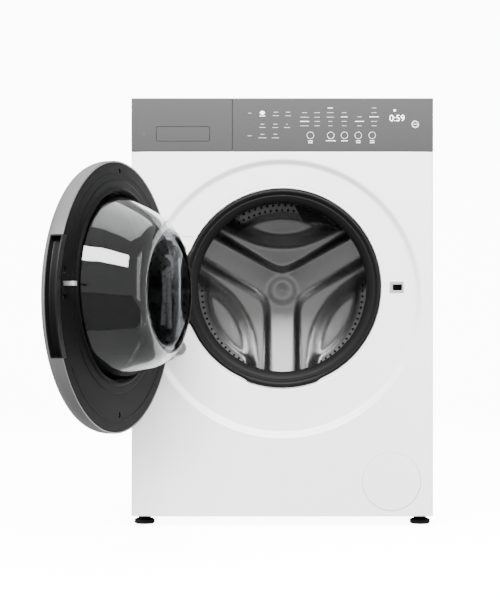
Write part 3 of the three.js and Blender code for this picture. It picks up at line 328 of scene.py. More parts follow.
# %% [markdown]
# ## Helpers for shapes
# Most of the machine is either turned or folded. A turned piece starts as half of its section, whose corners are
# rounded while it is still a thin line, and is spun about its axis. A moulded one starts as a block with its edges
# bevelled. Each is built where it sits, so its object stays at the origin.

# %% Turned and moulded shapes
ROUND_STEPS = 144


def turned(profile, x=0.0, z=DRUM_Z, corner=0.0, steps=ROUND_STEPS, axis="Y"):
    """Spins (radius, distance along the axis, own corner radius if any) points, in millimetres."""
    bm = bmesh.new()
    if axis == "Y":
        points = [at(x + p[0], p[1], z) for p in profile]
        centre, direction = at(x, 0, z), (0, 1, 0)
    else:
        points = [at(x + p[0], z, p[1]) for p in profile]
        centre, direction = at(x, z, 0), (0, 0, 1)
    verts = [bm.verts.new(point) for point in points]
    closed = profile[0][0] > 0
    for a, b in zip(verts, verts[1:] + (verts[:1] if closed else [])):
        bm.edges.new((a, b))
    corners = [p[2] if len(p) > 2 else corner for p in profile]
    for i, (vert, size) in enumerate(zip(verts, corners)):
        if size and (closed or 0 < i < len(verts) - 1):
            bmesh.ops.bevel(bm, geom=[vert], offset=size * MM, offset_type="OFFSET", segments=4 if size > 2 else 2,
                            profile=0.5, affect="VERTICES", clamp_overlap=True, material=-1)
    bmesh.ops.spin(bm, geom=bm.verts[:] + bm.edges[:], cent=centre, axis=direction, angle=2 * math.pi,
                   steps=steps, use_merge=True)
    bmesh.ops.remove_doubles(bm, verts=bm.verts, dist=0.01 * MM)
    bmesh.ops.recalc_face_normals(bm, faces=bm.faces)
    return bm


def moulded(x, y, z, corner=0.0, segments=3, along=None):
    """A block between two places, its edges bevelled; along picks only the edges that run in one direction."""
    bm = bmesh.new()
    bmesh.ops.create_cube(bm, size=1)
    bmesh.ops.scale(bm, vec=[(b - a) * MM for a, b in (x, y, z)], verts=bm.verts)
    bmesh.ops.translate(bm, vec=at(sum(x) / 2, sum(y) / 2, sum(z) / 2), verts=bm.verts)
    if corner:
        edges = bm.edges[:]
        if along is not None:
            edges = [e for e in edges if abs((e.verts[1].co - e.verts[0].co).normalized()[along]) > 0.9]
        bmesh.ops.bevel(bm, geom=edges, offset=corner * MM, offset_type="OFFSET", segments=segments, profile=0.5,
                        affect="EDGES", clamp_overlap=True, material=-1)
    return bm


print("sides of a large turned piece:", ROUND_STEPS)

# %% Softened copies
def softened(node, edge_mm, sharp=30):
    """A copy of a frame piece: triangles merged, flat faces whole again, and its sharp edges rounded."""
    bm = bmesh.new()
    bm.from_mesh(frame["nodes"][node].data)
    bmesh.ops.remove_doubles(bm, verts=bm.verts, dist=0.01 * MM)
    bmesh.ops.dissolve_limit(bm, angle_limit=math.radians(1), verts=bm.verts, edges=bm.edges)
    edges = [e for e in bm.edges if e.is_manifold and e.calc_face_angle() > math.radians(sharp)]
    bmesh.ops.bevel(bm, geom=edges, offset=edge_mm * MM, offset_type="OFFSET", segments=2, profile=0.5,
                    affect="EDGES", clamp_overlap=True, material=-1)
    return bm


print("softened copies keep a frame piece's own size")

# %% Joining, cutting and finishing
def joined(*shapes):
    """One mesh that holds several shapes."""
    whole = bmesh.new()
    for shape in shapes:
        carried = bpy.data.meshes.new("carried")
        shape.to_mesh(carried)
        shape.free()
        whole.from_mesh(carried)
        bpy.data.meshes.remove(carried)
    return whole


def cut_out(shape, *cutters):
    """Cuts closed shapes out of a closed shape, and returns what is left."""
    helpers = []
    for part in (shape, *cutters):
        mesh = bpy.data.meshes.new("cutting")
        part.to_mesh(mesh)
        part.free()
        helpers.append(bpy.data.objects.new("cutting", mesh))
        bpy.context.collection.objects.link(helpers[-1])
    for cutter in helpers[1:]:
        modifier = helpers[0].modifiers.new("cut", "BOOLEAN")
        modifier.operation = "DIFFERENCE"
        modifier.solver = "EXACT"
        modifier.object = cutter
    bpy.context.view_layer.update()
    left = bmesh.new()
    left.from_object(helpers[0], bpy.context.evaluated_depsgraph_get())
    for helper in helpers:
        bpy.data.meshes.remove(helper.data)
    return left


def piece(name, shape, finish, body, stands_for=(), smooth=35):
    """Makes a finished piece of a shape: finish, smooth faces with crisp edges, and the body that it rides on."""
    mesh = bpy.data.meshes.new(name)
    shape.to_mesh(mesh)
    shape.free()
    mesh.materials.clear()
    mesh.materials.append(finish)
    mesh.shade_smooth()
    mesh.set_sharp_from_angle(angle=math.radians(smooth))
    made = bpy.data.objects.new(name, mesh)
    bpy.context.collection.objects.link(made)
    weighting = made.modifiers.new("even_shading", "WEIGHTED_NORMAL")
    weighting.keep_sharp = True
    if body:
        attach(made, body)
    if stands_for:
        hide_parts(*stands_for)
    print(f"{name}: {len(mesh.polygons)} faces")
    return made


def screw(x, y, z, radius=3.6, facing=-1):
    """A pan-head screw with a cross recess, its head on a face that looks along Y."""
    height = 2.2 * facing
    head = turned([(0, y + height), (0.55 * radius, y + height), (radius, y + 0.35 * height), (radius, y), (0, y)],
                  x, z, corner=0.25, steps=20)
    arm = 0.62 * radius
    slots = [moulded((x - w, x + w), sorted((y + height * 1.2, y + height * 0.45)), (z - h, z + h))
             for w, h in ((arm, 0.45), (0.45, arm))]
    return cut_out(head, *slots)


print("helpers made")

# %% [markdown]
# ## Front panel
# The front is one steel sheet, pressed into a round dish that the door closes into. A ring of vertices is pushed
# out to the panel's outline and stepped in towards the mouth, so every fold is a loop of the same ring and the
# bends can be rounded by bevels. The sheet gets its thickness at the end, and the openings are cut last.

# %% Front panel's rings
HALF = 300.0
PANEL_LOW = 19.0
PANEL_HIGH = 743.6
RECESS_RADIUS = 276.0

panel = bmesh.new()
ring = bmesh.ops.create_circle(panel, segments=ROUND_STEPS, radius=RECESS_RADIUS * MM)["verts"]
bmesh.ops.rotate(panel, cent=(0, 0, 0), matrix=Matrix.Rotation(math.radians(90), 3, "X"), verts=ring)
bmesh.ops.translate(panel, vec=at(0, 0, DOOR_Z), verts=ring)
inner_edges = panel.edges[:]


def next_ring(bm, edges):
    """Extrudes a loop of edges and returns its new vertices and edges."""
    made = bmesh.ops.extrude_edge_only(bm, edges=edges)["geom"]
    return ([g for g in made if isinstance(g, bmesh.types.BMVert)],
            [g for g in made if isinstance(g, bmesh.types.BMEdge)])


SIDE_BEND = 6.0
END_BEND = 1.4
flat_x, flat_low, flat_high = HALF - SIDE_BEND, PANEL_LOW + END_BEND, PANEL_HIGH - END_BEND
outline, outline_edges = next_ring(panel, inner_edges)
for vert in outline:
    out = vert.co - at(0, 0, DOOR_Z)
    reach = [flat_x * MM / max(abs(out.x), 1e-9)]
    reach.append(((flat_high - DOOR_Z) if out.z > 0 else (DOOR_Z - flat_low)) * MM / max(abs(out.z), 1e-9))
    vert.co = at(0, 0, DOOR_Z) + out * min(reach)
for x, z in ((-flat_x, flat_low), (flat_x, flat_low), (-flat_x, flat_high), (flat_x, flat_high)):
    min(outline, key=lambda v: (v.co - at(x, 0, z)).length).co = at(x, 0, z)
rest = [(vert.co.x - CASING_X, vert.co.z) for vert in outline]
for step in range(1, 7):
    turn = math.radians(15 * step)
    folded, outline_edges = next_ring(panel, outline_edges)
    for vert in folded:
        x, z = min(rest, key=lambda p: abs(p[0] + CASING_X - vert.co.x) + abs(p[1] - vert.co.z)) if step == 1 else (
            vert.co.x - CASING_X, vert.co.z)
        at_side = abs(x) > (flat_x - 0.01) * MM
        at_end = z < (flat_low + 0.01) * MM or z > (flat_high - 0.01) * MM
        if at_side:
            vert.co.x = CASING_X + math.copysign((flat_x + SIDE_BEND * math.sin(turn)) * MM, x)
        if at_end:
            vert.co.z = (flat_high + END_BEND * math.sin(turn) if z > DOOR_Z * MM
                         else flat_low - END_BEND * math.sin(turn)) * MM
        bend = SIDE_BEND if at_side else END_BEND
        vert.co.y = FRONT_Y + bend * (1 - math.cos(turn)) * MM
folded, _ = next_ring(panel, outline_edges)
for vert in folded:
    vert.co.y = FRONT_Y + 16 * MM
print("outline vertices:", len(outline))

# %% Front panel's dish and mouth
steps_in = [(267, 10, DOOR_Z), (206, 10, DRUM_Z), (203, 11.6, DRUM_Z), (201.6, 11.6, DRUM_Z),
            (200.2, 10.2, DRUM_Z), (198.8, 10.2, DRUM_Z), (197.5, 11.8, DRUM_Z), (197.5, 24, DRUM_Z)]
radius_now, z_now = RECESS_RADIUS, DOOR_Z
loop = inner_edges
for radius, y, z in steps_in:
    verts, loop = next_ring(panel, loop)
    centre = at(0, 0, z_now)
    bmesh.ops.translate(panel, vec=-centre, verts=verts)
    bmesh.ops.scale(panel, vec=(radius / radius_now, 1, radius / radius_now), verts=verts)
    bmesh.ops.translate(panel, vec=at(0, 0, z), verts=verts)
    for vert in verts:
        vert.co.y = FRONT_Y + y * MM
    radius_now, z_now = radius, z
bmesh.ops.recalc_face_normals(panel, faces=panel.faces)
print("dish rings:", len(steps_in))

# %% Front panel's bends
def bends(bm, low, high):
    """Edges whose two faces meet at an angle between two limits, in degrees."""
    return [e for e in bm.edges if e.is_manifold
            and math.radians(low) < e.calc_face_angle() < math.radians(high)]


dish_bends = [e for e in bends(panel, 30, 70) if (e.verts[0].co - at(0, 0, DOOR_Z)).length > 0.25
              and abs(e.verts[0].co.x - CASING_X) < 0.29 and abs(e.verts[0].co.y - e.verts[1].co.y) < 1e-6]
bmesh.ops.bevel(panel, geom=dish_bends, offset=3 * MM, offset_type="OFFSET", segments=4, profile=0.5,
                affect="EDGES", clamp_overlap=True, material=-1)
bmesh.ops.remove_doubles(panel, verts=panel.verts, dist=0.01 * MM)
bmesh.ops.recalc_face_normals(panel, faces=panel.faces)
if min(panel.faces, key=lambda f: (f.calc_center_median() - at(200, 0, 700)).length).normal.y > 0:
    bmesh.ops.reverse_faces(panel, faces=panel.faces)
bmesh.ops.solidify(panel, geom=panel.faces[:], thickness=1.6 * MM)
print("dish bends:", len(dish_bends))

# %% [markdown]
# The door's rim turns inwards as it opens, so the panel has a deep pocket for it at the hinge, with a shallow
# scoop above and below. A flat hollow runs from the pocket to the mouth and holds the hinge's bracket.

# %% Front panel's openings
lock_hole = moulded((214, 242), (-5, 30), (462.5, 485.5), corner=1.2, along=1)
filter_hole = turned([(0, -5), (58.4, -5), (58.4, 20), (0, 20)], 217, 88)
pocket_hole = moulded((-274.3, -215.3), (-5, 60), (330, 574), corner=5, along=1)
scoop_hole = moulded((-274.3, -244.3), (-5, 60), (320, 584), corner=5, along=1)
hinge_hollow = moulded((-216.5, -150), (-5, 11.0), (335, 576), corner=9, segments=5, along=1)
front_shape = cut_out(panel, lock_hole, filter_hole, pocket_hole, scoop_hole, hinge_hollow)
piece("front_panel_sheet", front_shape, white_enamel, "cabinet", ["front_panel"])

# %% Hinge pocket
pocket_wall = moulded((-275.9, -213.7), (10.2, 49.6), (328.4, 575.6), corner=6, along=1)
pocket_room = moulded((-274.3, -215.3), (0, 48), (330, 574), corner=5, along=1)
scoop_wall = moulded((-275.9, -242.7), (2, 12), (318.4, 585.6), corner=6, along=1)
scoop_room = moulded((-274.3, -244.3), (0, 10.4), (320, 584), corner=5, along=1)
pocket_through = moulded((-274.3, -215.3), (0, 47), (330, 574), corner=5, along=1)
liner = joined(cut_out(pocket_wall, pocket_room), cut_out(scoop_wall, scoop_room, pocket_through))
piece("hinge_pocket_liner", liner, white_enamel, "cabinet")

# %% [markdown]
# ## Door
# The door is built as if it were shut, where its sizes are simple, and then swung open about its hinge pin. Its
# silver ring, dark frame, glass and cover are all turned; the grip is a slice of a ring, cut by blocks.

# %% Door's swing and slices
HINGE_X, HINGE_Y = -227.3, 4.0
OPENING = 109


def swung(shape):
    """Turns a shape built on the shut door to where the open door has it."""
    bmesh.ops.rotate(shape, cent=at(HINGE_X, HINGE_Y, 0), verts=shape.verts,
                     matrix=Matrix.Rotation(math.radians(-OPENING), 3, "Z"))
    return shape


def grip_slice(inner, outer, y, half, corner=0.8):
    """A slice of a ring at the door's free edge, as tall as the grip."""
    ring = turned([(inner, y[0]), (outer, y[0]), (outer, y[1]), (inner, y[1])], z=DOOR_Z, corner=corner)
    above = moulded((-300, 300), (-80, 80), (DOOR_Z + half, 800))
    below = moulded((-300, 300), (-80, 80), (100, DOOR_Z - half))
    far_side = moulded((-300, 0), (-80, 80), (100, 800))
    return cut_out(ring, above, below, far_side)


def hinge_clearance():
    """The room that the hinge's barrel needs in the door's edge."""
    return turned([(0, 362), (12.5, 362), (12.5, 542), (0, 542)], HINGE_X, HINGE_Y, steps=32, axis="Z")


print("the door stands open by", OPENING, "degrees")

# %% Door's outer ring
ring_shape = turned([(252, 4, 0.8), (252, -15, 6), (246.5, -28, 5), (240, -31.5, 2), (236, -32, 0.6), (236, -29),
                     (242.8, -26), (248.8, -20), (248.8, 4, 0.6)], z=DOOR_Z)
grip_gap = moulded((190, 262), (-19.9, 9), (DOOR_Z - 106.4, DOOR_Z + 106.4), corner=3, along=0)
ring_shape = cut_out(ring_shape, grip_gap, hinge_clearance())
piece("door_ring", swung(ring_shape), rim_metal, "door", ["door_outer_ring"])

# %% Door's cover
cover_shape = turned([(0, -32), (150, -31.9), (228, -31.2), (235.4, -30.6, 0.8), (235.4, -28, 0.6), (0, -28)], z=DOOR_Z)
piece("door_cover", swung(cover_shape), tinted_cover, "door", ["door_front_cover"])
lining = turned([(0, -28.4), (190, -28.4), (190, -27.2), (0, -27.2)], z=DOOR_Z)
piece("door_cover_lining", swung(lining), dark_frame, "door")

# %% [markdown]
# The dark frame is a flat plate with the glass opening a little off its centre. A raised collar runs round the
# opening and presses on the rubber seal when the door is shut. Two screws sit in wells at top and bottom.

# %% Door's inner frame
GLASS_Z = 472.0
frame_plate = turned([(0, -8), (248.4, -8), (248.4, 4, 1.2), (0, 4)], z=DOOR_Z)
opening = turned([(0, -20), (173, -20), (173, 20), (0, 20)], z=GLASS_Z)
arm_seat = moulded((-227.3, -192.9), (-0.4, 12), (396.6, 507.4))
latch_seat = moulded((216, 231), (1, 5), (458, 490))
grip_room = grip_slice(235.6, 257, (-9, 5), 106.4, corner=0)
wells = [turned([(0, 0.4), (5.4, 0.4), (5.4, 8), (0, 8)], x, z, steps=24)
         for x, z in ((0, DOOR_Z + 233), (0, DOOR_Z - 218), (221, DRUM_Z + 24), (221, DRUM_Z - 24))]
frame_plate = cut_out(frame_plate, opening, hinge_clearance(), arm_seat, latch_seat, grip_room, *wells)
collar = turned([(173, 3.4), (174.5, 5.5, 1), (177, 9.5, 2), (181, 9.5, 1.5), (184, 5.5, 1.5), (196, 5.4, 1),
                 (199, 3.4)], z=GLASS_Z)
collar = cut_out(collar, moulded((-227.3, -192.9), (-0.4, 12), (396.6, 507.4)))
track = turned([(226.5, 3.5), (227.2, 4.6, 0.3), (229.2, 4.6, 0.3), (229.9, 3.5)], z=DOOR_Z)
track = cut_out(track, moulded((-300, -150), (0, 12), (330, 574)), moulded((150, 300), (0, 12), (330, 574)))
piece("door_frame", swung(joined(frame_plate, collar, track)), dark_frame, "door",
      ["door_inner_frame"])

# %% Door's screws
screws = joined(*[screw(x, 0.5, z, 4.2, facing=1) for x, z in
                  ((0, DOOR_Z + 233), (0, DOOR_Z - 218), (221, DRUM_Z + 24), (221, DRUM_Z - 24))])
piece("door_screws", swung(screws), black_plastic, "door")

# %% Door's grip
grip_shape = cut_out(grip_slice(236, 252, (-19.5, 4), 106, corner=1), grip_slice(238, 258, (-17.5, 2), 104, corner=2))
piece("door_finger_grip", swung(grip_shape), black_plastic, "door", ["door_grip"])

# %% [markdown]
# The glass is a pressed bowl with a heavy flange. It narrows towards its end and sags a little, which keeps wet
# laundry away from the seal. Its section is spun first, and then each ring sinks by its own share.

# %% Door's glass
BOWL = [(-17, 184, 0), (-13, 184, 0), (-13, 170, 0), (0, 170, 0), (25, 162, 1.5), (50, 151, 4), (72, 141, 7),
        (92, 127, 9.5), (100, 109, 10.5)]
WALL = 5.0


def sag(along):
    """How far the bowl has sunk at a distance from the door's inner face."""
    for (a, _, low), (b, _, high) in zip(BOWL, BOWL[1:]):
        if b > a and along <= b:
            return low + (high - low) * max(0, along - a) / (b - a)
    return BOWL[-1][2]


outer_side = [(184, -13, 1.2), (184, -9, 1.2), (170, -9, 1.5), (170, 4, 3), (162, 29, 8), (151, 54, 8), (141, 76, 8),
              (127, 96, 8), (109, 104, 9), (0, 104.4)]
inner_side = [(0, 99), (104, 98.6, 8), (122, 91, 8), (136, 71, 8), (146, 49, 8), (157, 24, 8), (165, -1, 3),
              (165, -13, 1.2)]
bowl_shape = turned([(165.01, -13.0)] + outer_side[:-1] + [(60, 104.3), (0.5, 104.4), (0.5, 99)]
                    + [(60, 98.9)] + inner_side[1:-1], z=GLASS_Z)
bmesh.ops.holes_fill(bowl_shape, edges=bowl_shape.edges[:], sides=ROUND_STEPS)
for vert in bowl_shape.verts:
    vert.co.z -= sag((vert.co.y - FRONT_Y) / MM - 4) * MM
piece("door_bowl", swung(bowl_shape), pressed_glass, "door", ["door_glass"], smooth=60)

# %% [markdown]
# The latch hook snaps into the lock beside the mouth. A dark plate covers its fixing, so only the plated hook shows.
# The hinge is a plated bracket with two ears, a pin, and an arm that carries the door.

# %% Latch and hinge
piece("latch_plate", swung(moulded((211, 233), (3.7, 6.3), (455, 493), corner=1.2)), dark_frame, "door")
piece("latch_hook", softened("door_latch_hook", 0.5), plated_steel, "door", ["door_latch_hook"])
piece("hinge_arm_plated", softened("door_hinge_arm", 0.4), plated_steel, "door", ["door_hinge_arm"])
bracket_screws = joined(screw(-203, 7.6, 354), screw(-203, 7.6, 550))
piece("hinge_bracket_plated", softened("hinge_bracket", 0.4), plated_steel, "cabinet",
      ["hinge_bracket"])
piece("hinge_bracket_screws", bracket_screws, plated_steel, "cabinet")
piece("lock_housing", softened("door_lock", 0.5), lock_plastic, "cabinet", ["door_lock"])
lock_room = moulded((219.2, 239.8), (36, 40), (467.2, 480.8))
lock_bar = moulded((221.6, 223.0), (14, 36), (467.2, 480.8))
piece("lock_slot_lining", joined(lock_room, lock_bar), black_plastic, "cabinet")

# %% [markdown]
# ## Mouth seal
# The rubber seal is one turned profile: a bead on the panel's edge, a dished face, the lip that the glass presses
# on, and a folded bellows to the tub.

# %% Mouth seal
seal_shape = turned([(195.8, 13, 0.8), (195.8, 9.4, 1.5), (190.5, 8.6, 1.5), (187.5, 12, 1.2), (184.5, 14.5, 0.8),
                     (182.5, 13.8, 0.8), (176, 17.5, 2), (171, 22.5, 2), (168, 28, 1.4), (169, 31, 1.2), (180, 26, 2),
                     (187.5, 28, 2), (187.5, 52, 3), (182.4, 62, 2), (182.4, 74, 0.8), (186.4, 74, 0.8),
                     (186.4, 63, 2), (191.5, 54, 3), (191.5, 34, 2), (195.8, 28, 1.5)])
LUGS = (math.pi, 1.5 * math.pi)
for vert in seal_shape.verts:
    across, up = vert.co.x - CASING_X, vert.co.z - DRUM_Z * MM
    radius, deep = math.hypot(across, up) / MM, (vert.co.y - FRONT_Y) / MM
    if radius > 188 and deep < 14:
        for lug in LUGS:
            away = abs((math.atan2(up, across) - lug + math.pi) % (2 * math.pi) - math.pi)
            rise = max(0.0, min(1.0, (math.radians(23.5) - away) / math.radians(2.5)))
            if rise:
                share = rise * rise * (3 - 2 * rise)
                grow = 1 + share * 4.2 / radius * (radius - 188) / 7.8
                vert.co.x, vert.co.z = CASING_X + across * grow, DRUM_Z * MM + up * grow
                vert.co.y -= share * 2.6 * MM
mouth_seal = piece("mouth_seal", seal_shape, seal_rubber, None, ["door_gasket"])
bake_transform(mouth_seal)
print("seal lugs:", len(LUGS))

# %% [markdown]
# ## Drum
# The drum's wall, front ring and back are stainless steel. The sheet's polish runs round the drum, so its streaks
# are noise stretched along the angle. The water holes are too many to model one by one on the wall, so there the
# finish paints them as near black spots of painted shade, from two counts: holes round the drum, and rows along it.

# %% Drum steel
def drum_finish(name, with_holes):
    """Polished stainless steel whose streaks, and holes if asked, follow the drum's own axis."""
    material = new_finish(name, "#A4A4A4", 0.27, metallic=1.0)
    tree = material.node_tree
    shader = tree.nodes["Principled BSDF"]
    place = add_node(tree, "ShaderNodeTexCoord")
    centred = add_node(tree, "ShaderNodeVectorMath", {
        0: place.outputs["Object"], 1: tuple(at(0, 0, DRUM_Z))}, operation="SUBTRACT")
    parts = add_node(tree, "ShaderNodeSeparateXYZ", {"Vector": centred.outputs["Vector"]})
    angle = add_node(tree, "ShaderNodeMath", {0: parts.outputs["X"], 1: parts.outputs["Z"]}, operation="ARCTAN2")
    squares = add_node(tree, "ShaderNodeCombineXYZ", {"X": parts.outputs["X"], "Z": parts.outputs["Z"]})
    radius = add_node(tree, "ShaderNodeVectorMath", {0: squares.outputs["Vector"]}, operation="LENGTH")
    polar = add_node(tree, "ShaderNodeCombineXYZ", {
        "X": angle.outputs["Value"], "Y": parts.outputs["Y"], "Z": radius.outputs["Value"]})
    stretched = add_node(tree, "ShaderNodeMapping", {"Vector": polar.outputs["Vector"], "Scale": (0.5, 260, 260)})
    streaks = add_node(tree, "ShaderNodeTexNoise", {"Vector": stretched.outputs["Vector"], "Scale": 1.0, "Detail": 3})
    rough = add_node(tree, "ShaderNodeMapRange", {"Value": streaks.outputs["Fac"], "To Min": 0.3, "To Max": 0.34})
    tree.links.new(rough.outputs["Result"], shader.inputs["Roughness"])
    tone = add_node(tree, "ShaderNodeMix", data_type="RGBA")
    tone.inputs[6].default_value, tone.inputs[7].default_value = paint("#9A9A9A"), paint("#9E9E9E")
    tree.links.new(streaks.outputs["Fac"], tone.inputs[0])
    tree.links.new(tone.outputs[2], shader.inputs["Base Color"])
    if with_holes:
        rows = add_node(tree, "ShaderNodeMath", {0: parts.outputs["Y"], 1: 1 / (22 * MM)}, operation="MULTIPLY")
        row = add_node(tree, "ShaderNodeMath", {0: rows.outputs["Value"]}, operation="FLOOR")
        shift = add_node(tree, "ShaderNodeMath", {0: row.outputs["Value"], 1: 0.5}, operation="MULTIPLY")
        count = add_node(tree, "ShaderNodeMath", {
            0: angle.outputs["Value"], 1: 72 / (2 * math.pi), 2: shift.outputs["Value"]}, operation="MULTIPLY_ADD")
        cell = add_node(tree, "ShaderNodeCombineXYZ", {"X": count.outputs["Value"], "Y": rows.outputs["Value"]})
        within = add_node(tree, "ShaderNodeVectorMath", {0: cell.outputs["Vector"]}, operation="FRACTION")
        off = add_node(tree, "ShaderNodeVectorMath", {0: within.outputs["Vector"], 1: (0.5, 0.5, 0)},
                       operation="DISTANCE")
        hole = add_node(tree, "ShaderNodeMapRange", {
            "Value": off.outputs["Value"], "From Min": 0.11, "From Max": 0.14, "To Min": 0.0, "To Max": 1.0})
        # Painted shade: inside each hole the colour turns near black, for the dark behind the drum's wall.
        dark = add_node(tree, "ShaderNodeMix", data_type="RGBA")
        dark.inputs[6].default_value = paint("#0A0A0A")
        tree.links.new(hole.outputs["Result"], dark.inputs[0])
        tree.links.new(tone.outputs[2], dark.inputs[7])
        tree.links.new(dark.outputs[2], shader.inputs["Base Color"])
        dent = add_node(tree, "ShaderNodeBump", {"Height": hole.outputs["Result"], "Distance": 1 * MM, "Strength": 0.7})
        tree.links.new(dent.outputs["Normal"], shader.inputs["Normal"])
    return material


polished_steel = drum_finish("polished_stainless_steel", False)
pierced_steel_painted_hole_shade = drum_finish("pierced_stainless_steel_painted_hole_shade", True)
print("drum finishes made")

# %% Drum wall and front ring
wall_shape = turned([(245, 98), (245, 470), (247, 470), (247, 98)])
piece("drum_wall", wall_shape, pierced_steel_painted_hole_shade, "drum", ["drum_shell"])
front_ring_shape = turned([(186, 97), (186.4, 93, 1), (189.5, 90, 1.5), (212, 91.5, 3), (226, 90, 3), (236, 90.4, 3),
                           (247, 94, 1), (247, 97.6), (245, 97.6), (234, 93), (190, 93), (188.4, 97)])
piece("drum_mouth_ring", front_ring_shape, polished_steel, "drum", ["drum_front_ring"])

# %% [markdown]
# The drum's back is pressed into a three-armed star: a broad shoulder, and on it a narrower ridge that runs out to
# the rim. The disc is spun with many rings, and each of its vertices is pushed forward by how close it is to the
# star's three centre lines. The corners between the arms are softened by blending the three distances.

# %% Drum back's star
ARMS = [math.radians(a) for a in (-90, 30, 150)]


def step_down(value, start, end):
    """One before start, nought after end, smooth between."""
    share = max(0.0, min(1.0, (end - value) / (end - start)))
    return share * share * (3 - 2 * share)


def arm_distance(x, z, softness):
    """The blended distance to the star's centre lines, in millimetres."""
    total = 0.0
    for arm in ARMS:
        along = max(0.0, x * math.cos(arm) + z * math.sin(arm))
        off = math.hypot(x - along * math.cos(arm), z - along * math.sin(arm))
        total += math.exp(-off / softness)
    return -softness * math.log(total)


def star_height(x, z):
    """How far the star stands forward of the disc."""
    out = math.hypot(x, z)
    fade = step_down(out, 200, 222)
    shoulder = step_down(arm_distance(x, z, 30), 50, 88)
    ridge = step_down(arm_distance(x, z, 8), 24, 44)
    dish = 7 * step_down(out, 80, 165) - 5 * step_down(out, 165, 177) + 2
    dome = 5 * step_down(out, 16, 40)
    raised = shoulder * (7 + 0.07 * out) + ridge * (6 + 0.05 * out) + 0.035 * out
    return fade * raised + dome - dish * (1 - shoulder)


back_shape = turned([(0, 474)] + [(r, 474) for r in range(4, 236, 4)] + [(238, 473.4), (242, 471), (244.6, 468)],
                    steps=216)
for vert in back_shape.verts:
    x, z = (vert.co.x - CASING_X) / MM, vert.co.z / MM - DRUM_Z
    vert.co.y -= star_height(x, z) * MM
bmesh.ops.recalc_face_normals(back_shape, faces=back_shape.faces)
if sum(f.normal.y for f in back_shape.faces) > 0:
    bmesh.ops.reverse_faces(back_shape, faces=back_shape.faces)
bmesh.ops.solidify(back_shape, geom=back_shape.faces[:], thickness=1.0 * MM)
piece("drum_back_star", back_shape, polished_steel, "drum", ["drum_back"], smooth=70)

# %% Drum back's holes, as dark discs of painted shade
# Each hole is a shallow near black disc on the pressed face: painted shade of the dark behind the hole.
hole_shade_black = new_finish("painted_hole_shade", "#070707", 0.8)
grain(hole_shade_black, 2.0, 0.05, rough=(0.7, 0.9))
holes = bmesh.new()
for radius, offset in ((184, 0.0), (196, 0.5)):
    for i in range(88):
        turn = 2 * math.pi * (i + offset) / 88
        x, z = radius * math.cos(turn), radius * math.sin(turn)
        if arm_distance(x, z, 30) < 76:
            continue
        forward = star_height(x, z) + 0.35
        dimple = bmesh.ops.create_cone(holes, cap_ends=True, segments=12, radius1=2.9 * MM, radius2=2.4 * MM,
                                       depth=0.5 * MM)["verts"]
        bmesh.ops.rotate(holes, cent=(0, 0, 0), matrix=Matrix.Rotation(math.radians(90), 3, "X"), verts=dimple)
        bmesh.ops.translate(holes, vec=at(x, 474 - forward, DRUM_Z + z), verts=dimple)
piece("drum_back_hole_shade_discs", holes, hole_shade_black, "drum")

# %% Drum lifters and shaft
for i in (1, 2, 3):
    piece(f"lifter_{i}", softened(f"drum_lifter_{i}", 4.0), polished_steel, "drum",
          [f"drum_lifter_{i}"], smooth=60)
shaft_shape = turned([(0, 476.6), (20, 476.6, 1), (20, 525, 1), (17, 525), (17, 566, 1.5), (0, 566)], steps=48)
piece("drum_axle", shaft_shape, ground_steel, "drum", ["drum_shaft"])

# %% [markdown]
# ## Control head
# The control head is one silver moulding, and the detergent drawer's front sits flush in its left third. The
# drawer's finger flap has round corners, so its opening is cut with a block whose upright edges were rounded.

# %% Fascia and drawer front
piece("fascia_moulding", softened("fascia", 1.0), silver_lacquer, "cabinet", ["fascia"])
FLAP_X, FLAP_Z = (-250.95, -143.65), (764.0, 794.0)
front_block = moulded((-300, -99.4), (0, 6.6), (744.4, 850), corner=0.9)
flap_opening = moulded(FLAP_X, (-5, 12), FLAP_Z, corner=5, segments=6, along=1)
front_block = cut_out(front_block, flap_opening)
well = cut_out(moulded((-257.9, -136.7), (2.6, 36), (757, 803), corner=1.5),
               moulded((-255.9, -138.7), (-2, 34), (759, 801), corner=1.5))
piece("drawer_face", front_block, silver_lacquer, "drawer", ["drawer_front"])
piece("drawer_finger_well", well, lock_plastic, "drawer")

# %% Drawer flap
flap_plate = moulded((FLAP_X[0] + 0.9, FLAP_X[1] - 0.9), (0.2, 2.5), (FLAP_Z[0] + 0.9, FLAP_Z[1] - 0.8))
round_ends = [e for e in flap_plate.edges if abs((e.verts[1].co - e.verts[0].co).normalized().y) > 0.9]
bmesh.ops.bevel(flap_plate, geom=round_ends, offset=4.3 * MM, offset_type="OFFSET", segments=6, profile=0.5,
                affect="EDGES", clamp_overlap=True, material=-1)
flap_arm = moulded((-249, -145.6), (2.2, 9.6), (789.4, 793), corner=0.6)
flap_axle = turned([(0, -255.4), (2.4, -255.4), (2.4, -139.2), (0, -139.2)], 0, 0, steps=16)
bmesh.ops.translate(flap_axle, vec=-at(0, 0, 0), verts=flap_axle.verts)
bmesh.ops.rotate(flap_axle, cent=(0, 0, 0), matrix=Matrix.Rotation(math.radians(-90), 3, "Z"), verts=flap_axle.verts)
bmesh.ops.translate(flap_axle, vec=at(0, 9.6, 795), verts=flap_axle.verts)
piece("drawer_flap_plate", joined(flap_plate, flap_arm, flap_axle), silver_lacquer, "drawer_flap",
      ["drawer_flap"])
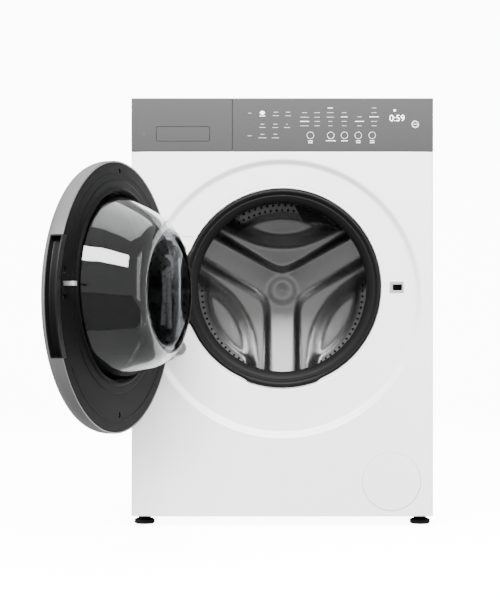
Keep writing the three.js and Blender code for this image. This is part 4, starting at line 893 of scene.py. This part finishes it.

# %% [markdown]
# The controls are touch areas: rings and short dashes printed on the lacquer, and a lit clock behind it. All of
# them are plain marks of no maker. A ring is a flat turned washer a fifth of a millimetre proud of the face.

# %% Printed marks
# The white print glows a little: a painted glow, since the print is no lamp.
white_ink_painted_glow = new_finish("white_screen_ink_painted_glow", "#F4F4F4", 0.5, Emission_Color=(1, 1, 1, 1), Emission_Strength=0.35)
grain(white_ink_painted_glow, 0.5, 0.002, rough=(0.45, 0.55))
faint_ink = new_finish("faint_screen_ink", "#B4B4B4", 0.5)
grain(faint_ink, 0.5, 0.002, rough=(0.45, 0.55), tint=("#AEAEAE", "#BABABA"))
dark_ink = new_finish("dark_screen_ink", "#2A2A2A", 0.5)
grain(dark_ink, 0.5, 0.002, rough=(0.45, 0.55), tint=("#262626", "#303030"))
display_light = new_finish("lit_clock_segments", "#FFFFFF", 0.4, Emission_Color=(1, 1, 1, 1), Emission_Strength=1.6)
grain(display_light, 1.0, 0.0, rough=(0.38, 0.42))
PRINT = (-0.2, 0.3)


def washer(x, z, outer, line=0.7):
    """A printed ring."""
    return turned([(outer - line, PRINT[0]), (outer, PRINT[0]), (outer, PRINT[1]), (outer - line, PRINT[1])],
                  x, z, steps=40)


def dash(x, z, length, thick=1.4):
    """A short printed word, drawn as a plain bar with round ends."""
    return moulded((x - length / 2, x + length / 2), PRINT, (z - thick / 2, z + thick / 2), corner=0.4)


KEYS = (55.8, 96.4, 123.6, 151.0, 178.6)
bright = [washer(x, 776, 7, 0.6) for x in KEYS]
bright += [dash(x, 765.2, w) for x, w in zip(KEYS, (9, 20, 13, 9, 9))]
bright += [dash(x, 761.4, w) for x, w in ((55.8, 9), (151, 9), (178.6, 9))]
bright += [dash(x, z, w) for x, z, w in ((44.3, 803.6, 18), (95.6, 830.3, 11), (123, 812.8, 13), (153.4, 803.6, 18),
                                          (182.2, 812.8, 19), (-39.5, 814.4, 12))]
leaf = moulded((-44.5, -34.5), PRINT, (817.4, 824.6), corner=3.4, along=1)
bright.append(leaf)
bright.append(moulded((220.6, 226), PRINT, (822.8, 827.8), corner=2.2, along=1))
piece("bright_marks", joined(*bright), white_ink_painted_glow, "cabinet")
rings = [washer(264.1, 797.9, 7.2, 0.8), washer(264.1, 797.9, 5.2, 0.5), dash(264.1, 797.9, 6, 1.2)]
piece("start_mark", joined(*rings), white_ink_painted_glow, "cabinet")
power = [washer(-64.8, 797.9, 6.8, 0.9), washer(-64.8, 797.9, 3.4, 0.7),
         moulded((-65.3, -64.3), PRINT, (798.2, 803), corner=0.2)]
piece("power_mark", joined(*power), dark_ink, "cabinet")

# %% Faint marks
faint = [dash(x, z, w, 1.1) for x, z, w in (
    (-64.8, 820, 7), (-12.8, 822, 9), (-12.8, 815, 12), (11.4, 822, 9), (11.4, 815, 12),
    (-39.5, 798, 8), (-39.5, 791.5, 13), (-13.8, 798, 8), (-13.8, 791.5, 12), (9.5, 798, 3), (9.5, 791.5, 12),
    (-64.8, 775, 8), (-39.5, 778, 8), (-39.5, 771, 16), (-13.8, 778, 8), (-13.8, 771, 14),
    (44.3, 812, 18), (44.3, 821, 10), (44.3, 795, 17), (69, 821, 11), (69, 812, 11), (69, 803.6, 11), (69, 795, 11),
    (95.6, 821, 13), (95.6, 812, 15), (95.6, 803.6, 8), (95.6, 795, 8), (123, 821, 9), (123, 803.6, 10),
    (123, 795, 9), (153.4, 812.8, 9), (153.4, 795, 9), (182.2, 830.3, 9), (182.2, 821, 10), (182.2, 803.6, 12),
    (182.2, 795, 10))]
piece("faint_marks", joined(*faint), faint_ink, "cabinet")
drop = [washer(-275, 779, 4.2, 1.4), moulded((-277.2, -272.8), PRINT, (776.5, 781.5), corner=1.6, along=1),
        dash(-275, 770.5, 12, 0.9)]
piece("drawer_mark", joined(*drop), dark_ink, "drawer")
print("marks printed")

# %% Clock
def lettering(text, height, x, z):
    """Generic characters as flat meshes on the face."""
    curve = bpy.data.curves.new("digits", "FONT")
    curve.body = text
    curve.size = height * MM / 0.69
    curve.extrude = 0.2 * MM
    curve.align_x, curve.align_y = "CENTER", "CENTER"
    holder = bpy.data.objects.new("digits", curve)
    bpy.context.collection.objects.link(holder)
    bpy.context.view_layer.update()
    shape = bmesh.new()
    shape.from_mesh(holder.to_mesh())
    holder.to_mesh_clear()
    bpy.data.objects.remove(holder)
    bpy.data.curves.remove(curve)
    bmesh.ops.rotate(shape, cent=(0, 0, 0), matrix=Matrix.Rotation(math.radians(90), 3, "X"), verts=shape.verts)
    bmesh.ops.translate(shape, vec=at(x, 0, z), verts=shape.verts)
    bmesh.ops.remove_doubles(shape, verts=shape.verts, dist=0.01 * MM)
    return shape


piece("clock_digits", lettering("0:59", 12.5, 228.1, 809.6), display_light, "cabinet", smooth=20)

# %% [markdown]
# ## Casing sides, lid and back
# A flat steel side would drum like a bell, so each side has a large shallow pressing with soft edges. It is made
# by insetting the outer face of a thin block and pushing the inset inwards. The lid is a block with rounded edges.

# %% Side panels
for side, sign in (("left", -1), ("right", 1)):
    skin = moulded(sorted((sign * 300, sign * 298.2)), (16.4, 585.6), (19, 743.6))
    face = max(skin.faces, key=lambda f: f.calc_center_median().x * sign)
    bmesh.ops.inset_region(skin, faces=[face], thickness=46 * MM, depth=0)
    bmesh.ops.inset_region(skin, faces=[face], thickness=7 * MM, depth=-1.6 * MM)
    rim = [e for e in face.edges]
    bmesh.ops.bevel(skin, geom=rim, offset=3 * MM, offset_type="OFFSET", segments=3, profile=0.5, affect="EDGES",
                    clamp_overlap=True, material=-1)
    upper = moulded(sorted((sign * 300, sign * 298.2)), (30.4, 585.6), (743.6, 831.6))
    flange = moulded(sorted((sign * 300, sign * 278)), (583.6, 585.6), (19, 831.6), corner=0.5)
    shelf = moulded(sorted((sign * 188, sign * 299)), (368, 392), (812, 815), corner=0.5)
    piece(f"side_sheet_{side}", joined(skin, upper, flange, shelf), white_enamel, "cabinet",
          [f"side_panel_{side}"])

# %% Lid
lid_outer = moulded((-300, 300), (30.4, 588), (832, 850), corner=3, segments=4)
lid_inner = moulded((-297.5, 297.5), (0, 585.5), (820, 847.5))
piece("lid", cut_out(lid_outer, lid_inner), white_enamel, "cabinet", ["top_panel"])

# %% [markdown]
# The back is bare zinc-coated sheet. Upright pressings stiffen it, a row of screws holds it to the sides, and four
# plugs close the holes of the transit bolts. A round cover gives access to the motor.

# %% Back panel's details
ribs = []
for x in (-262, -205, 205, 262):
    ribs.append(moulded((x - 7, x + 7), (587.2, 590.4), (190, 740), corner=2.2, segments=3))
for z in (150, 690):
    ribs.append(moulded((-150, 150), (587.2, 590.4), (z - 7, z + 7), corner=2.2, segments=3))
piece("back_pressings", joined(*ribs), zinc_sheet, "cabinet")
back_screws = [screw(x, 588, z, 4.2, facing=1) for x in (-289, 289) for z in (60, 240, 420, 600, 780)]
back_screws += [screw(x, 588, z, 4.2, facing=1) for x in (-200, 0, 200) for z in (30, 822)]
back_screws += [screw(156 * math.cos(a), 590.4, DRUM_Z + 156 * math.sin(a), 4.2, facing=1)
                for a in (math.radians(d) for d in (45, 135, 225, 315))]
piece("back_screws", joined(*back_screws), plated_steel, "cabinet")
plugs = [turned([(0, 592.5), (9, 592, 1), (15, 589.5, 1), (16, 587.5), (0, 587.5)], x, z, steps=36)
         for x in (-170, 170) for z in (250, 650)]
piece("transit_bolt_plugs", joined(*plugs), pale_plastic, "cabinet")
cover_shape = turned([(0, 597.4), (134, 597.4, 3), (142, 588.4, 3), (164, 588.4, 0.5), (164, 590.4, 0.5),
                      (144, 590.4, 3), (136, 599.4, 3), (120, 599.4, 3), (112, 597.9, 2), (70, 597.9, 2),
                      (62, 599.4, 3), (0, 599.4)], steps=96)
piece("motor_cover", cover_shape, zinc_sheet, "cabinet", ["rear_access_cover"])

# %% Inlets and gland
inlet_rings = []
for x in (150, 205):
    for y in (590.5, 593, 595.5, 598):
        inlet_rings.append(turned([(12.8, y - 0.9), (13.4, y, 0.2), (12.8, y + 0.9)], x, 790, steps=32))
piece("inlet_threads", joined(*inlet_rings), pale_plastic, "cabinet")
piece("inlet_valve_body", softened("water_inlet_valve", 0.5), pale_plastic, "cabinet",
      ["water_inlet_valve"], smooth=40)
gland_shape = turned([(4.5, 574), (8, 574), (8, 588.4), (12, 588.4, 0.4), (12, 591.5, 0.6), (9, 593, 1), (7.6, 599, 0.8),
                      (4.5, 599)], -230, 110, steps=40)
piece("cable_gland", gland_shape, black_plastic, "cabinet", ["mains_cable_gland"])

# %% [markdown]
# ## Feet, filter cover and springs
# The feet are turned rubber pads on threaded studs, with a nut against the casing. The filter cover is a plain
# round cap flush with the panel. The springs that hold the tub are real coils: a small circle spun as it rises.

# %% Feet
for place, x, y in (("front_left", -277, 42), ("front_right", 277, 42), ("rear_left", -277, 546),
                    ("rear_right", 277, 546)):
    pad = turned([(0, 0), (18.8, 0, 0.5), (20.5, 2, 0.8), (20.5, 8.4, 0.8), (18.2, 9.6, 0.8), (13, 11.6, 1),
                  (12.4, 12)], x, y, steps=48, axis="Z")
    bmesh.ops.holes_fill(pad, edges=pad.edges[:], sides=60)
    nut = turned([(0, 12), (12.3, 12, 0.4), (12.3, 17.4, 0.6), (0, 17.4)], x, y, steps=6, axis="Z")
    thread = [(5.0 if i % 2 else 4.4, 17.4 + i * 1.6) for i in range(0, 20)]
    stud = turned([(0, 17.2)] + thread + [(0, 50.6)], x, y, steps=20, axis="Z")
    piece(f"foot_pad_{place}", joined(pad, nut, stud), foot_rubber, f"foot_{place}", [f"foot_{place}"])

# %% Filter cover
cover_disc = turned([(0, 0.2), (56.6, 0.2, 0.6), (58, 1.4, 0.5), (58, 3), (50, 3), (50, 10, 0.5), (48, 10), (48, 3.4),
                     (0, 3.4)], 217, 88)
coin_slot = moulded((209, 225), (-1, 1.6), (139.5, 142), corner=0.7)
piece("filter_cap_cover", cut_out(cover_disc, coin_slot), white_moulding, "filter_cover",
      ["filter_cover"])

# %% Springs
for side, x in (("left", -200), ("right", 200)):
    low, high, turns = 692.6, 809.6, 15
    coil = bmesh.new()
    section = bmesh.ops.create_circle(coil, segments=8, radius=1.7 * MM)["verts"]
    bmesh.ops.rotate(coil, cent=(0, 0, 0), matrix=Matrix.Rotation(math.radians(90), 3, "X"), verts=section)
    bmesh.ops.translate(coil, vec=at(x + 10, 380, low), verts=section)
    bmesh.ops.spin(coil, geom=coil.verts[:] + coil.edges[:], cent=at(x, 380, low), axis=(0, 0, 1),
                   dvec=(0, 0, (high - low) * MM / (turns * 20)), angle=2 * math.pi * turns, steps=turns * 20,
                   use_merge=False)
    bmesh.ops.holes_fill(coil, edges=coil.edges[:], sides=10)
    bmesh.ops.recalc_face_normals(coil, faces=coil.faces)
    wire = piece(f"tub_spring_{side}", coil, zinc_sheet, None, [f"suspension_spring_{side}"])
    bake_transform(wire)
print("springs coiled")

# %% Finishes of the frame's own pieces
own_finish = {
    "white_enamel": white_enamel, "galvanised_steel": zinc_sheet, "filter_cover": white_moulding,
    "silver_fascia": silver_lacquer, "door_rim_silver": rim_metal, "door_cover_dark": tinted_cover,
    "door_frame_dark": dark_frame, "black_plastic": black_plastic, "foot_black": foot_rubber,
    "glass_bowl": pressed_glass, "latch_steel": plated_steel, "lock_plastic": lock_plastic,
    "gasket_rubber": seal_rubber, "seal_rubber": foot_rubber, "drum_steel": zinc_sheet,
    "lifter_plastic": lock_plastic, "cast_aluminium": die_cast, "bright_steel": ground_steel,
    "rotor_steel": zinc_sheet, "stator_copper": winding, "tub_plastic": tub_plastic, "concrete": cast_weight,
    "white_plastic": pale_plastic, "grey_plastic": lock_plastic, "circuit_board": board_lacquer,
}
for entry in frame["record"]["subparts"]:
    node = frame["nodes"][entry["node"]]
    node.data.materials.clear()
    node.data.materials.append(own_finish[entry["material_slot"]])

# %% [markdown]
# ## End
# The finished model must keep the frame's own size.

# %% End of the script
print("script finished")
